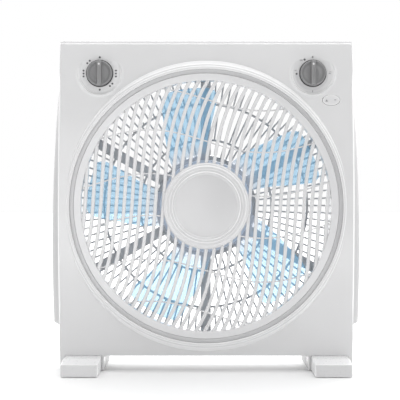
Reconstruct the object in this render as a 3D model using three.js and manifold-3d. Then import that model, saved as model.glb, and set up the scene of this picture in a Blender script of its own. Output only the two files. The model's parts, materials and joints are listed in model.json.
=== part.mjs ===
// Box fan with a slowly turning front louvre, modelled as separate pieces.
// Millimetres. +X to the right seen from the front, -Y towards the user, +Z up.
// The origin is on the floor under the middle of the fan.
import * as THREE from 'three';
import { mergeVertices } from 'three/addons/utils/BufferGeometryUtils.js';
import Module from 'manifold-3d';

const wasm = await Module();
wasm.setup();

// ---------------------------------------------------------------- driving dimensions
const AX = 199;               // height of the fan axis above the floor
const TOP = 398;              // overall height
const WALL = 2.6;             // moulded wall
const FRONT_Y = -47;          // front face of the panel at the height of the axis
const SAG = 14;               // how far the bowed panel falls back at its top and bottom edges
const HALF_W = 177;           // half width of the front panel
const JOIN_Y = -12;           // parting plane between the two shells
const BACK_Y = 47;            // rear face of the rear shell
const WING_HW = 190.5;        // half width of the rear shell at its swollen sides
const WING_Z = 150;           // height where the swollen sides are widest
const WING_R = 2295;          // radius of the swollen sides, seen from the front
const WING_LOW = 55;          // the swollen sides end here, above the feet
const SLOT_HW = 122.8;         // half width of the gap under the body
const FLOOR_Z = 18.8;         // underside of the body between its legs
const OPEN_R = 163;           // front opening
const RIM_R = 158.2;          // louvre rim, outside
const SLAT_R = 149.6;         // louvre rim, inside
const HUB_R = 51.6;           // louvre hub
const CAP_R = 46.3;           // centre cap
const PITCH = 9.345;          // spacing of the louvre slats at the height of the axis
const SLAT_W = 4.0;           // width of a slat
const SLATS = 32;
const REAR_R = 163;           // rear grille drum, outside
const REAR_IN = 160;          // rear grille drum, inside
const RING_IN = 85, RING_OUT = 131;   // rings of the rear grille
const SPOKE_W = 13;
const KNOB_X = 127.8, KNOB_Z = 357.9, KNOB_R = 16, KNOB_Y = -37.6;
const DISH_R = 25.4, DISH_Y = -34.6;   // flat floor of a knob's dish: its radius and its plane
const FLANGE_R = 162.2;       // thin flange of the louvre that covers its guide rollers
const ROCK_X = 149.4, ROCK_Z = 325.4, ROCK_A = 10.2, ROCK_B = 6.0;
const BLADE_R = 146, BLADE_HUB_R = 56, BLADES = 5;
const SHAFT_R = 4;
const ROLLER_C = 162.3, ROLLER_R = 7, TRACK_R = 155;
const FOOT_IN = 126.5, FOOT_OUT = 169, FOOT_H = 18, FOOT_LEN = 161;
const GAP = 0.3;

// ---------------------------------------------------------------- solid helpers
function solid(geometry) {
  let g = geometry.clone();
  for (const n of Object.keys(g.attributes)) if (n !== 'position') g.deleteAttribute(n);
  g = mergeVertices(g, 1e-4);
  const p = g.attributes.position.array, ix = g.index.array, tri = [];
  let vol = 0;
  for (let i = 0; i < ix.length; i += 3) {
    const a = ix[i], b = ix[i + 1], c = ix[i + 2];
    if (a === b || b === c || a === c) continue;
    tri.push(a, b, c);
    const ax = p[3 * a], ay = p[3 * a + 1], az = p[3 * a + 2];
    const bx = p[3 * b], by = p[3 * b + 1], bz = p[3 * b + 2];
    const cx = p[3 * c], cy = p[3 * c + 1], cz = p[3 * c + 2];
    vol += ax * (by * cz - bz * cy) - ay * (bx * cz - bz * cx) + az * (bx * cy - by * cx);
  }
  if (vol < 0) for (let i = 0; i < tri.length; i += 3) [tri[i + 1], tri[i + 2]] = [tri[i + 2], tri[i + 1]];
  return new wasm.Manifold(new wasm.Mesh({
    numProp: 3, vertProperties: new Float32Array(p), triVerts: new Uint32Array(tri),
  }));
}
function geometryOf(m) {
  const mesh = m.getMesh();
  const g = new THREE.BufferGeometry();
  g.setAttribute('position', new THREE.BufferAttribute(new Float32Array(mesh.vertProperties), 3));
  g.setIndex(new THREE.BufferAttribute(new Uint32Array(mesh.triVerts), 1));
  g.computeVertexNormals();
  return g;
}
const shapeOf = (pts) => new THREE.Shape(pts.map(([a, b]) => new THREE.Vector2(a, b)));
const ring2 = (pts) => new THREE.Path(pts.map(([a, b]) => new THREE.Vector2(a, b)));
// outline in (x, z), thick from y0 to y1
function prismY(pts, y0, y1, holes = []) {
  const s = shapeOf(pts);
  for (const h of holes) s.holes.push(ring2(h));
  return new THREE.ExtrudeGeometry(s, { depth: y1 - y0, bevelEnabled: false, steps: 1 }).rotateX(Math.PI / 2).translate(0, y1, 0);
}
// outline in (y, z), thick from x0 to x1
function prismX(pts, x0, x1) {
  const m = new THREE.Matrix4().makeBasis(new THREE.Vector3(0, 1, 0), new THREE.Vector3(0, 0, 1), new THREE.Vector3(1, 0, 0));
  return new THREE.ExtrudeGeometry(shapeOf(pts), { depth: x1 - x0, bevelEnabled: false, steps: 1 }).applyMatrix4(m).translate(x0, 0, 0);
}
// profile in (r, y) turned about an axis parallel to Y through (x, z)
function turn(profile, seg = 24, x = 0, z = 0) {
  const closed = profile[0][0] !== 0 || profile[profile.length - 1][0] !== 0;
  const pts = profile.map(([r, y]) => new THREE.Vector2(r, y));
  if (closed) pts.push(pts[0].clone());
  return new THREE.LatheGeometry(pts, seg).translate(x, 0, z);
}
const cyl = (r, y0, y1, x = 0, z = 0, seg = 20) => turn([[0, y0], [r, y0], [r, y1], [0, y1]], seg, x, z);
const tube = (r0, r1, y0, y1, x = 0, z = 0, seg = 24) => turn([[r0, y0], [r1, y0], [r1, y1], [r0, y1]], seg, x, z);
const cylZ = (r, z0, z1, x = 0, y = 0, seg = 12) => cyl(r, z0, z1, 0, 0, seg).rotateX(Math.PI / 2).translate(x, y, 0);
const box = (x0, x1, y0, y1, z0, z1) => new THREE.BoxGeometry(x1 - x0, y1 - y0, z1 - z0).translate((x0 + x1) / 2, (y0 + y1) / 2, (z0 + z1) / 2);
// closed skin through equal rings of points, flat ends triangulated in their own (x, z) outline
function loft(rings) {
  const n = rings[0].length, pos = [], idx = [];
  for (const r of rings) for (const p of r) pos.push(p[0], p[1], p[2]);
  for (let i = 0; i < rings.length - 1; i++) for (let j = 0; j < n; j++) {
    const a = i * n + j, b = i * n + (j + 1) % n, c = a + n, d = b + n;
    idx.push(a, c, b, b, c, d);
  }
  const cap = (r, off, flip) => {
    const flat = r.map((p) => new THREE.Vector2(p[0], p[2]));
    for (const [a, b, c] of THREE.ShapeUtils.triangulateShape(flat, [])) {
      if (flip) idx.push(off + a, off + c, off + b); else idx.push(off + a, off + b, off + c);
    }
  };
  cap(rings[0], 0, false);
  cap(rings[rings.length - 1], (rings.length - 1) * n, true);
  const g = new THREE.BufferGeometry();
  g.setAttribute('position', new THREE.BufferAttribute(new Float32Array(pos), 3));
  g.setIndex(idx);
  return g;
}
const put = (g, x, y, z, tilt = 0) => g.rotateX(tilt).translate(x, y, z);
const addAll = (m, list) => list.reduce((acc, g) => acc.add(g instanceof THREE.BufferGeometry ? solid(g) : g), m);
const cutAll = (m, list) => list.reduce((acc, g) => acc.subtract(g instanceof THREE.BufferGeometry ? solid(g) : g), m);

// ---------------------------------------------------------------- materials
const mat = (color, roughness, metalness = 0) => new THREE.MeshStandardMaterial({ color, roughness, metalness });
const SHELL = mat(0xdcdcde, 0.42);
const GRILLE = mat(0xdadadd, 0.42);
const BLUE = mat(0xb9dcf4, 0.3);
const DARK = mat(0x6b6b6c, 0.45);
const BLACK = mat(0x232325, 0.55);
const STEEL = mat(0xa9acb0, 0.35, 0.9);
const ZINC = mat(0xc9cbce, 0.3, 0.9);
const IRON = mat(0x5c5f63, 0.5, 0.8);
const COPPER = mat(0xb0623a, 0.4, 0.8);
const BRONZE = mat(0x9a7442, 0.45, 0.8);
const RUBBER = mat(0x3a3a3b, 0.9);
const NYLON = mat(0xe6e3d8, 0.5);

// ---------------------------------------------------------------- scene graph
const fan = new THREE.Group(); fan.name = 'box_fan';
const housing = new THREE.Group(), rotor = new THREE.Group(), louvre = new THREE.Group(), controls = new THREE.Group();
fan.add(housing, rotor, louvre, controls);
function piece(group, name, shape, material, x = 0, y = 0, z = 0, tilt = 0, spin = 0) {
  const g = shape instanceof THREE.BufferGeometry ? geometryOf(solid(shape)) : geometryOf(shape);
  const m = new THREE.Mesh(g, material);
  m.name = name;
  m.position.set(x, y, z);
  m.rotation.set(tilt, spin, 0);
  group.add(m);
  return m;
}

// ---------------------------------------------------------------- the bowed panel
const sag = (z) => SAG * ((z - AX) / AX) ** 2;
const slope = (z) => 2 * SAG * (z - AX) / AX ** 2;
const panelHW = (z) => HALF_W - 1.2 * ((z - AX) / AX) ** 2;
function mirrorX(right) { // right half, bottom to top -> closed outline
  return [...right, ...right.slice().reverse().map(([x, z]) => [-x, z])];
}
const panelRight = [
  [SLOT_HW - 2, FLOOR_Z], [SLOT_HW, FLOOR_Z - 2], [SLOT_HW, 1], [FOOT_IN - 0.5, 1], [FOOT_IN - 0.5, FLOOR_Z],
  [FOOT_OUT + 0.5, FLOOR_Z], [FOOT_OUT + 0.5, 1], [panelHW(1), 1],
  ...[60, 130, 199, 268, 337, 389].map((z) => [panelHW(z), z]),
  [panelHW(395), 395.2], [panelHW(398) - 2.8, TOP],
];
const innerRight = [[panelHW(22) - WALL, FLOOR_Z + WALL], ...[110, 199, 290, 386].map((z) => [panelHW(z) - WALL, z]), [panelHW(390) - 9, TOP - WALL]];
function loaf(off, back) { // side profile of the bowed panel
  const pts = [];
  for (let i = 0; i <= 10; i++) { const z = -6 + (TOP + 12) * i / 10; pts.push([FRONT_Y + sag(z) + off, z]); }
  pts.push([back, TOP + 6], [back, -6]);
  return prismX(pts, -HALF_W - 5, HALF_W + 5);
}
const postXZ = [[158, 379], [-158, 379], [158, 33], [-158, 33], [75, 29.5], [-75, 29.5]];
const diag = (deg, r) => [r * Math.cos(deg * Math.PI / 180), AX + r * Math.sin(deg * Math.PI / 180)];
const rollerAng = { drive: -45, g1: 45, g2: 135, g3: 225 };
const motorXZ = diag(-45, 178);
const earXZ = [[motorXZ[0] + 19.1, motorXZ[1] + 19.1], [motorXZ[0] - 19.1, motorXZ[1] - 19.1]];
const footBossX = (FOOT_IN + FOOT_OUT) / 2;

const rTilt = -Math.atan(slope(ROCK_Z)), rY = FRONT_Y + sag(ROCK_Z);
const ellipse = (a, b, n) => Array.from({ length: n }, (_, i) => [a * Math.cos(2 * Math.PI * i / n), b * Math.sin(2 * Math.PI * i / n)]);

let front = solid(prismY(mirrorX(panelRight), -55, JOIN_Y)).intersect(solid(loaf(0, JOIN_Y + 4)));
front = front.subtract(solid(prismY(mirrorX(innerRight), -55, JOIN_Y + 5)).intersect(solid(loaf(WALL, JOIN_Y + 6))));
front = front.subtract(solid(cyl(OPEN_R + 1.4, -60, -20, 0, AX, 44)));
front = addAll(front, [
  // collar round the opening, recess wall and the inner flange behind the louvre
  turn([[OPEN_R, -47.8], [OPEN_R + 2.6, -47.8], [OPEN_R + 5.6, -46.6], [OPEN_R + 11.9, -35.4], [OPEN_R + 3, -35.4], [OPEN_R + 3, -28], [152, -28], [152, -30.5], [OPEN_R, -30.5]], 44, 0, AX),
  ...[-KNOB_X, KNOB_X].map((x) => solid(cyl(DISH_R + 4, KNOB_Y - 4, DISH_Y + WALL, x, KNOB_Z, 24)).intersect(solid(loaf(1, JOIN_Y)))),
  ...postXZ.map(([x, z]) => cyl(5.2, FRONT_Y + sag(z) + 1, JOIN_Y - GAP, x, z, 8)),
  ...earXZ.map(([x, z]) => cyl(4, FRONT_Y + sag(z) + 1, -27.7, x, z, 8)),
  ...[-footBossX, footBossX].map((x) => cylZ(5, FLOOR_Z + 1, 36, x, -22, 8)),
]);
front = cutAll(front, [
  ...[-KNOB_X, KNOB_X].map((x) => turn([[0, KNOB_Y - 14], [DISH_R + 3.6, KNOB_Y - 14], [DISH_R + 0.6, KNOB_Y - 0.5], [DISH_R, DISH_Y], [0, DISH_Y]], 24, x, KNOB_Z)),
  ...[-KNOB_X, KNOB_X].map((x) => cyl(4.2, KNOB_Y, KNOB_Y + 9, x, KNOB_Z, 12)),
  put(prismY(ellipse(ROCK_A + 1.1, ROCK_B + 1.1, 16), -6, 8), ROCK_X, rY, ROCK_Z, rTilt),
  ...Object.values(rollerAng).map((a) => cyl(8.3, -39.2, -30.5, ...diag(a, ROLLER_C), 12)),
  ...Object.entries(rollerAng).map(([k, a]) => cyl(k === 'drive' ? 4 : 2.4, -31, -27, ...diag(a, ROLLER_C), 8)),
  ...postXZ.map(([x, z]) => cyl(2.0, -30, JOIN_Y + 1, x, z, 6)),
  ...earXZ.map(([x, z]) => cyl(1.6, -38, -27, x, z, 6)),
  ...[-footBossX, footBossX].map((x) => cylZ(2.0, FLOOR_Z - 2, 37, x, -22, 6)),
]);
piece(housing, 'front_shell', front, SHELL);

// ---------------------------------------------------------------- rear shell with swollen sides and a grip
const sideZ = [1, 50, WING_LOW, 90, 130, 170, 210, 250, 290, 330, 366, 393];
const wing = (z) => WING_HW - (z - WING_Z) ** 2 / (2 * WING_R);
function rearRing(y, k, inset) {
  const right = [
    [SLOT_HW - 2, FLOOR_Z], [SLOT_HW, FLOOR_Z - 2], [SLOT_HW, 1], [FOOT_IN - 0.5, 1], [FOOT_IN - 0.5, FLOOR_Z],
    [FOOT_OUT + 0.5, FLOOR_Z], [FOOT_OUT + 0.5, 1],
  ];
  for (const z of sideZ) {
    const low = z < WING_LOW;
    const x = low ? 176.3 - Math.min(inset, 4) : 176.3 + k * (wing(z) - 176.3) - inset;
    right.push([x, z > 380 ? z - inset : z]);
  }
  right.push([171.5 - inset, TOP - inset]);
  return mirrorX(right).map(([x, z]) => [x, y, z]);
}
function rearInner(y, k, inset) {
  const right = [];
  for (const z of [FLOOR_Z + WALL, 53, 58, 90, 130, 170, 210, 250, 290, 330, 366, 386]) {
    const low = z < 56;
    const x = (low ? 176.3 - Math.min(inset, 4) : 176.3 + k * (wing(z) - 176.3) - inset) - WALL;
    right.push([x, z > 380 ? z - inset : z]);
  }
  right.push([166 - inset, TOP - WALL - inset]);
  return mirrorX(right).map(([x, z]) => [x, y, z]);
}
const JY = JOIN_Y + GAP;
let rear = solid(loft([rearRing(JY, 0.1, 0), rearRing(4, 1, 0), rearRing(34, 1, 0), rearRing(BACK_Y, 1, 9)]));
rear = rear.subtract(solid(loft([rearInner(JY - 2, 0.1, 0), rearInner(JY, 0.1, 0), rearInner(4, 1, 0), rearInner(33.2, 1, 0), rearInner(BACK_Y - WALL, 1, 7.6)])));
rear = addAll(rear, [
  ...postXZ.map(([x, z]) => cyl(5.2, JY, BACK_Y - 1.5, x, z, 8)),
  box(-54, 54, 20.5, BACK_Y - 1, 366, 387.2),
  ...[-footBossX, footBossX].map((x) => cylZ(5, FLOOR_Z + 1, 36, x, 30, 8)),
]);
rear = cutAll(rear, [
  cyl(REAR_R + 0.4, 40, 52, 0, AX, 44),
  box(-51, 51, 23, 52, 368.6, 384.6),
  ...postXZ.map(([x, z]) => cyl(2.1, JY - 1, 2, x, z, 6)),
  ...postXZ.map(([x, z]) => cyl(4.2, 0, 52, x, z, 8)),
  ...[-footBossX, footBossX].map((x) => cylZ(2.0, FLOOR_Z - 2, 37, x, 30, 6)),
  cyl(7.3, 40, 52, 120, 40, 16),
]);
piece(housing, 'rear_shell', rear, SHELL);

// ---------------------------------------------------------------- rear grille: drum, spokes, ribs, rings, motor bowl
const radial = (pts, w, deg) => { // (r, y) outline, w thick, turned to its angle about the fan axis
  const g = new THREE.ExtrudeGeometry(shapeOf(pts), { depth: w, bevelEnabled: false, steps: 1 }).translate(0, 0, -w / 2);
  return g.rotateY(-deg * Math.PI / 180).translate(0, 0, AX);
};
const back = (r) => 66.5 - 8.5 * (r - 63) / (REAR_R - 63);
const bar = (r0, r1, d0, d1, e = 0) => [[r0, back(r0) - d0], [r1, back(r1) - d1], [r1, back(r1) - e], [r0, back(r0) - e]];
const RIB_W = 2.0;
let grille = solid(turn([[REAR_IN, 41.4], [REAR_R + 3.4, 41.4], [REAR_R + 3.4, 44.1], [REAR_R, 44.1], [REAR_R, back(REAR_R)], [REAR_IN, back(REAR_IN)]], 44, 0, AX));
grille = addAll(grille, [
  turn([[0, 62.5], [60, 62.5], [60, 40], [62.6, 40], [66, 58], [66, back(66)], [0, back(66)]], 24, 0, AX),
  ...[[RING_IN, 24], [RING_OUT, 30]].map(([r, n]) => turn([[r - 1.3, back(r) - 5.4], [r + 1.3, back(r) - 5.4], [r + 1.3, back(r)], [r - 1.3, back(r)]], n, 0, AX)),
  ...[45, 135, 225, 315].map((a) => cyl(5, 58.8, 63, ...diag(a, 30), 8)),
]);
for (let s = 0; s < 6; s++) {
  const mid = 60 * s;
  grille = grille.add(solid(radial(bar(61.5, REAR_IN + 1, 9, 9), SPOKE_W, mid + 30)));
  for (const [n, pitch, r0, r1] of [[2, 19, 65, RING_IN], [4, 11.2, RING_IN, RING_OUT], [6, 8.4, RING_OUT, REAR_IN + 1]]) {
    for (let i = 0; i < n; i++) grille = grille.add(solid(radial(bar(r0, r1, 4.6, 4.6, 0.5), RIB_W, mid + (i - (n - 1) / 2) * pitch)));
  }
}
grille = cutAll(grille, [45, 135, 225, 315].map((a) => cyl(2.2, 57, 68, ...diag(a, 30), 6)));
piece(housing, 'rear_grille', grille, GRILLE);

// ---------------------------------------------------------------- feet
const halfFoot = FOOT_LEN / 2;
const footSide = [[-halfFoot, 1], [halfFoot, 1], [halfFoot - 2, 15], [60, FOOT_H], [-60, FOOT_H], [-halfFoot + 2, 15]];
const halfFootW = (FOOT_OUT - FOOT_IN) / 2;
const PAD_Y = 66, PAD_R = 7;
let foot = solid(prismX(footSide, -halfFootW, halfFootW));
foot = cutAll(foot, [
  ...[-PAD_Y, PAD_Y].map((y) => cylZ(PAD_R + GAP, 0, 2.7, 0, y, 12)),
  ...[-22, 30].map((y) => cylZ(4.4, 0, 8, 0, y, 8)),
  ...[-22, 30].map((y) => cylZ(2.2, 7, 20, 0, y, 6)),
]);
for (const [side, sx] of [['left', -1], ['right', 1]]) {
  piece(housing, `foot_${side}`, foot, SHELL, sx * footBossX, 0, 0);
  for (const [end, y] of [['front', -PAD_Y], ['rear', PAD_Y]]) {
    piece(housing, `foot_pad_${side}_${end}`, cylZ(PAD_R, 0, 2.4, 0, 0, 12), RUBBER, sx * footBossX, y, 0);
  }
}

// ---------------------------------------------------------------- fasteners
const screw = (head, shank, headH, len) => turn([[0, 0], [shank, 0], [shank, len], [head, len], [head * 0.8, len + headH], [0, len + headH]], 8);
const shellScrew = screw(3.7, 1.6, 2.6, 26);
postXZ.forEach(([x, z], i) => piece(housing, `shell_screw_${i + 1}`, shellScrew, ZINC, x, 0.3 - 26 + 0.0, z));
const footScrew = screw(3.9, 1.6, 2.4, 22);
let fi = 0;
for (const x of [-footBossX, footBossX]) for (const y of [-22, 30]) {
  // head down, in the counterbore of the foot
  piece(housing, `foot_screw_${++fi}`, footScrew, ZINC, x, y, 29.7, -Math.PI / 2);
}

// ---------------------------------------------------------------- motor on the rear grille
const frontBracket = turn([[38.6, 27.7], [41, 27.7], [41, 21], [35, 14.5], [4.8, 14.5], [4.8, 16.7], [9.3, 16.7], [9.3, 25.5], [12, 25.5], [12, 17], [33.8, 17], [38.6, 22]], 20, 0, AX);
piece(housing, 'motor_bracket_front', frontBracket, STEEL);
let rearBracket = solid(turn([[41, 46.3], [38.6, 46.3], [38.6, 52], [33.8, 56], [12, 56], [12, 48.5], [9.3, 48.5], [9.3, 57], [4.8, 57], [4.8, 58.5], [35, 58.5], [41, 53]], 20, 0, AX));
rearBracket = cutAll(rearBracket, [45, 135, 225, 315].map((a) => cyl(2.1, 50, 62, ...diag(a, 30), 6)));
piece(housing, 'motor_bracket_rear', rearBracket, STEEL);
piece(housing, 'stator_core', tube(22.2, 41, 28, 46, 0, AX, 24), IRON);
piece(housing, 'stator_winding_front', turn([[24, 20.5], [33, 20.5], [36.5, 24], [36.5, 27.7], [24, 27.7]], 18, 0, AX), COPPER);
piece(housing, 'stator_winding_rear', turn([[24, 46.3], [36.5, 46.3], [36.5, 50], [33, 52.4], [24, 52.4]], 18, 0, AX), COPPER);
piece(housing, 'bearing_front', tube(SHAFT_R + 0.1, 9, 17, 25.2, 0, AX, 16), BRONZE);
piece(housing, 'bearing_rear', tube(SHAFT_R + 0.1, 9, 48.8, 56.7, 0, AX, 16), BRONZE);
piece(housing, 'motor_cover', turn([[60, 39.7], [62.5, 39.7], [62.5, 13], [60.5, 11], [13, 11], [13, 13], [60, 13]], 24, 0, AX), GRILLE);
const motorScrew = screw(3.9, 1.7, 2.4, 12);
[45, 135, 225, 315].forEach((a, i) => { const [x, z] = diag(a, 30); piece(housing, `motor_screw_${i + 1}`, motorScrew, ZINC, x, back(66) + GAP - 12, z); });
piece(housing, 'run_capacitor', box(44.5, 56.5, 18, 38, AX - 12, AX + 12), BLACK);

// ---------------------------------------------------------------- rotor: shaft, core, blades, spinner nut
const shaftTop = 57.5;
piece(rotor, 'motor_shaft', turn([[0, -28], [3.2, -28], [SHAFT_R, -27], [SHAFT_R, shaftTop], [0, shaftTop]], 16, 0, AX), STEEL);
piece(rotor, 'rotor_core', tube(SHAFT_R + GAP, 21.5, 28, 46, 0, AX, 20), IRON);
let blades = solid(turn([[SHAFT_R + GAP, -21], [54, -21], [BLADE_HUB_R, -18], [BLADE_HUB_R, 9], [53.5, 9], [53.5, -18.3], [11, -18.3], [11, 8], [SHAFT_R + GAP, 8]], 30, 0, AX));
// one blade: stations from the root to the tip, each [radius, centre angle, half angle, y of the rear edge, y of the front edge]
const stations = [
  [54.6, 13.5, 21.5, 7.5, -16.5], [84, 7.4, 18.1, 14, -17.9],
  [112, 2.4, 16.1, 15, -17.3], [134, 0.1, 15.0, 13.5, -15], [BLADE_R, -0.6, 9.5, 8.5, -10],
];
const CH = 4, T = 1.0;
function blade(mid) {
  const pos = [], idx = [], n = stations.length;
  for (const s of [-1, 1]) for (const [r, c, h, yr, yf] of stations) for (let j = 0; j <= CH; j++) {
    const t = j / CH, a = (mid + c + h * (2 * t - 1)) * Math.PI / 180;
    const y = yr + (yf - yr) * t - 3.2 * Math.sin(Math.PI * t) + s * T;
    pos.push(r * Math.cos(a), y, AX + r * Math.sin(a));
  }
  const at = (s, i, j) => s * n * (CH + 1) + i * (CH + 1) + j;
  for (let i = 0; i < n - 1; i++) for (let j = 0; j < CH; j++) {
    idx.push(at(0, i, j), at(0, i + 1, j), at(0, i, j + 1), at(0, i, j + 1), at(0, i + 1, j), at(0, i + 1, j + 1));
    idx.push(at(1, i, j), at(1, i, j + 1), at(1, i + 1, j), at(1, i, j + 1), at(1, i + 1, j + 1), at(1, i + 1, j));
  }
  for (let i = 0; i < n - 1; i++) {
    idx.push(at(0, i, 0), at(1, i, 0), at(0, i + 1, 0), at(0, i + 1, 0), at(1, i, 0), at(1, i + 1, 0));
    idx.push(at(0, i, CH), at(0, i + 1, CH), at(1, i, CH), at(1, i, CH), at(0, i + 1, CH), at(1, i + 1, CH));
  }
  for (let j = 0; j < CH; j++) {
    idx.push(at(0, 0, j), at(0, 0, j + 1), at(1, 0, j), at(1, 0, j), at(0, 0, j + 1), at(1, 0, j + 1));
    idx.push(at(0, n - 1, j), at(1, n - 1, j), at(0, n - 1, j + 1), at(0, n - 1, j + 1), at(1, n - 1, j), at(1, n - 1, j + 1));
  }
  const g = new THREE.BufferGeometry();
  g.setAttribute('position', new THREE.BufferAttribute(new Float32Array(pos), 3));
  g.setIndex(idx);
  return g;
}
for (let k = 0; k < BLADES; k++) blades = blades.add(solid(blade(27 + 72 * k)));
piece(rotor, 'fan_blade', blades, BLUE);
piece(rotor, 'blade_nut', turn([[SHAFT_R + GAP, -21.3], [13, -21.3], [14, -24], [11, -30.2], [0, -31], [0, -28.4], [SHAFT_R + GAP, -28.4]], 16, 0, AX), BLUE);

// ---------------------------------------------------------------- turning louvre
// each slat is an S: upright at the height of the axis and leaning further the higher or lower it gets
const lean = (zeta) => 8.64 * zeta + 11.95 * zeta ** 3;
const slatX = (u, z) => { const q = (z - AX) / 119.5; return (u + lean(q)) / (1 - 0.0672 * q * q); };
function slat(u) {
  // the span inside the rim, then a strip of quads of the slat's width
  const zs = [];
  let z0 = null, z1 = null;
  for (let z = AX - 160; z <= AX + 160; z += 0.5) {
    if (Math.hypot(slatX(u, z), z - AX) < SLAT_R + 3) { if (z0 === null) z0 = z; z1 = z; }
  }
  const seg = Math.max(2, Math.round((z1 - z0) / 52));
  const left = [], right = [];
  for (let i = 0; i <= seg; i++) { const z = z0 + (z1 - z0) * i / seg, x = slatX(u, z); left.push([x - SLAT_W / 2, z]); right.push([x + SLAT_W / 2, z]); }
  return prismY([...right, ...left.reverse()], -43.4, -34.4);
}
const waveZ = (x, zc) => AX + zc - 13.7 * Math.sin(Math.PI / 2 * x / 68.1);
function crossRib(zc) {
  const lo = [], hi = [];
  for (let i = 0; i <= 18; i++) { const x = -152 + 304 * i / 18; lo.push([x, waveZ(x, zc) - 0.9]); hi.push([x, waveZ(x, zc) + 0.9]); }
  return prismY([...lo, ...hi.reverse()], -41.6, -38);
}
let fins = null;
for (let i = 0; i < SLATS; i++) { const s = solid(slat((i - (SLATS - 1) / 2) * PITCH)); fins = fins ? fins.add(s) : s; }
for (const zc of [-77.4, 77.4]) fins = fins.add(solid(crossRib(zc)));
fins = fins.intersect(solid(tube(HUB_R - 1.2, SLAT_R + 1.2, -50, -30, 0, AX, 44)));
let louvreBody = addAll(fins, [
  turn([[SLAT_R, -45], [RIM_R, -45], [RIM_R + 0.8, -43.8], [FLANGE_R, -43.8], [FLANGE_R, -42.6], [RIM_R, -42.6], [RIM_R, -39.5], [TRACK_R, -39.5], [TRACK_R, -33.7], [157.5, -33.7], [157.5, -32.2], [SLAT_R, -32.2]], 44, 0, AX),
  turn([[0, -33], [HUB_R, -33], [HUB_R, -44.4], [CAP_R + GAP, -44.4], [CAP_R + GAP, -36], [0, -36]], 28, 0, AX),
]);
piece(louvre, 'louvre_grille', louvreBody, GRILLE);
piece(louvre, 'louvre_cap', turn([[0, -36.3], [CAP_R, -36.3], [CAP_R, -46], [44.6, -47.4], [41.2, -47.4], [39.4, -46.2], [38.2, -47.6], [26, -48.9], [0, -49.4]], 28, 0, AX), GRILLE);

// ---------------------------------------------------------------- rollers, their pins and the gear motor
const wheel = tube(2.3, ROLLER_R, -38.5, -34.5, 0, 0, 14);
{ const [x, z] = diag(rollerAng.drive, ROLLER_C);
  piece(louvre, 'drive_roller', tube(2.3, ROLLER_R, -38.5, -34.5, 0, 0, 14), RUBBER, x, 0, z);
  piece(louvre, 'louvre_motor_shaft', cyl(2, -39, -27.7, 0, 0, 12), STEEL, x, 0, z); }
['g1', 'g2', 'g3'].forEach((k, i) => {
  const [x, z] = diag(rollerAng[k], ROLLER_C);
  piece(louvre, `guide_roller_${i + 1}`, wheel, NYLON, x, 0, z);
  piece(housing, `roller_pin_${i + 1}`, turn([[0, -39], [2, -39], [2, -27.7], [3.6, -27.7], [3.6, -26], [0, -26]], 8), STEEL, x, 0, z);
});
let gearMotor = solid(cyl(22, -27.4, -12.4, motorXZ[0], motorXZ[1], 20));
gearMotor = gearMotor.add(solid(prismY([[-28, -5], [28, -5], [32, 0], [28, 5], [-28, 5], [-32, 0]], -27.4, -25.4).rotateY(-Math.PI / 4).translate(motorXZ[0], 0, motorXZ[1])));
gearMotor = cutAll(gearMotor, earXZ.map(([x, z]) => cyl(1.6, -29, -24, x, z, 8)));
piece(housing, 'louvre_motor', gearMotor, STEEL);
const earScrew = screw(2.8, 1.1, 1.8, 11);
earXZ.forEach(([x, z], i) => piece(housing, `louvre_motor_screw_${i + 1}`, earScrew, ZINC, x, -25.1 - 11, z));

// ---------------------------------------------------------------- controls: knobs square to the floors of their dishes, the rocker square to the panel
const knobShape = () => {
  let m = solid(turn([[0, 1], [15.2, 1], [KNOB_R, 0], [15.4, -5.6], [14.4, -6.5], [0, -6.5]], 22));
  m = m.add(solid(box(-2.7, 2.7, -12, -5.6, -14.6, 14.6)));
  return m.subtract(solid(cyl(3.3, -4.5, 3, 0, 0, 12)));
};
for (const [name, x, w, h, d] of [['speed', -KNOB_X, 17, 15, 20], ['timer', KNOB_X, 20, 18, 25]]) {
  piece(controls, `${name}_knob`, knobShape(), DARK, x, KNOB_Y, KNOB_Z);
  piece(controls, `${name}_shaft`, cyl(3, -4.2, 5.6, 0, 0, 12), NYLON, x, KNOB_Y, KNOB_Z);
  piece(controls, name === 'speed' ? 'speed_switch' : 'timer_unit', box(-w, w, 5.9, 5.9 + d, -h, h), name === 'speed' ? BLACK : NYLON, x, KNOB_Y, KNOB_Z);
}
const rocker = solid(prismY(ellipse(ROCK_A, ROCK_B, 16), -1.4, 6));
piece(controls, 'louvre_rocker', rocker, SHELL, ROCK_X, rY, ROCK_Z, rTilt);
piece(controls, 'louvre_switch', box(-12, 12, 9.6, 22, -8, 8), BLACK, ROCK_X, rY, ROCK_Z, rTilt);

// ---------------------------------------------------------------- where the mains lead enters
piece(housing, 'cord_gland', turn([[0, 38], [6.9, 38], [6.9, BACK_Y + GAP], [9.5, BACK_Y + GAP], [8.8, BACK_Y + 4], [6.2, BACK_Y + 10], [4.2, BACK_Y + 10], [4.2, 41], [0, 41]], 12), BLACK, 120, 0, 40);

export default fan;
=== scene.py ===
import json
import math

import bmesh
import bpy
import numpy as np
from mathutils import Matrix, Vector
from mathutils.geometry import delaunay_2d_cdt


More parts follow.
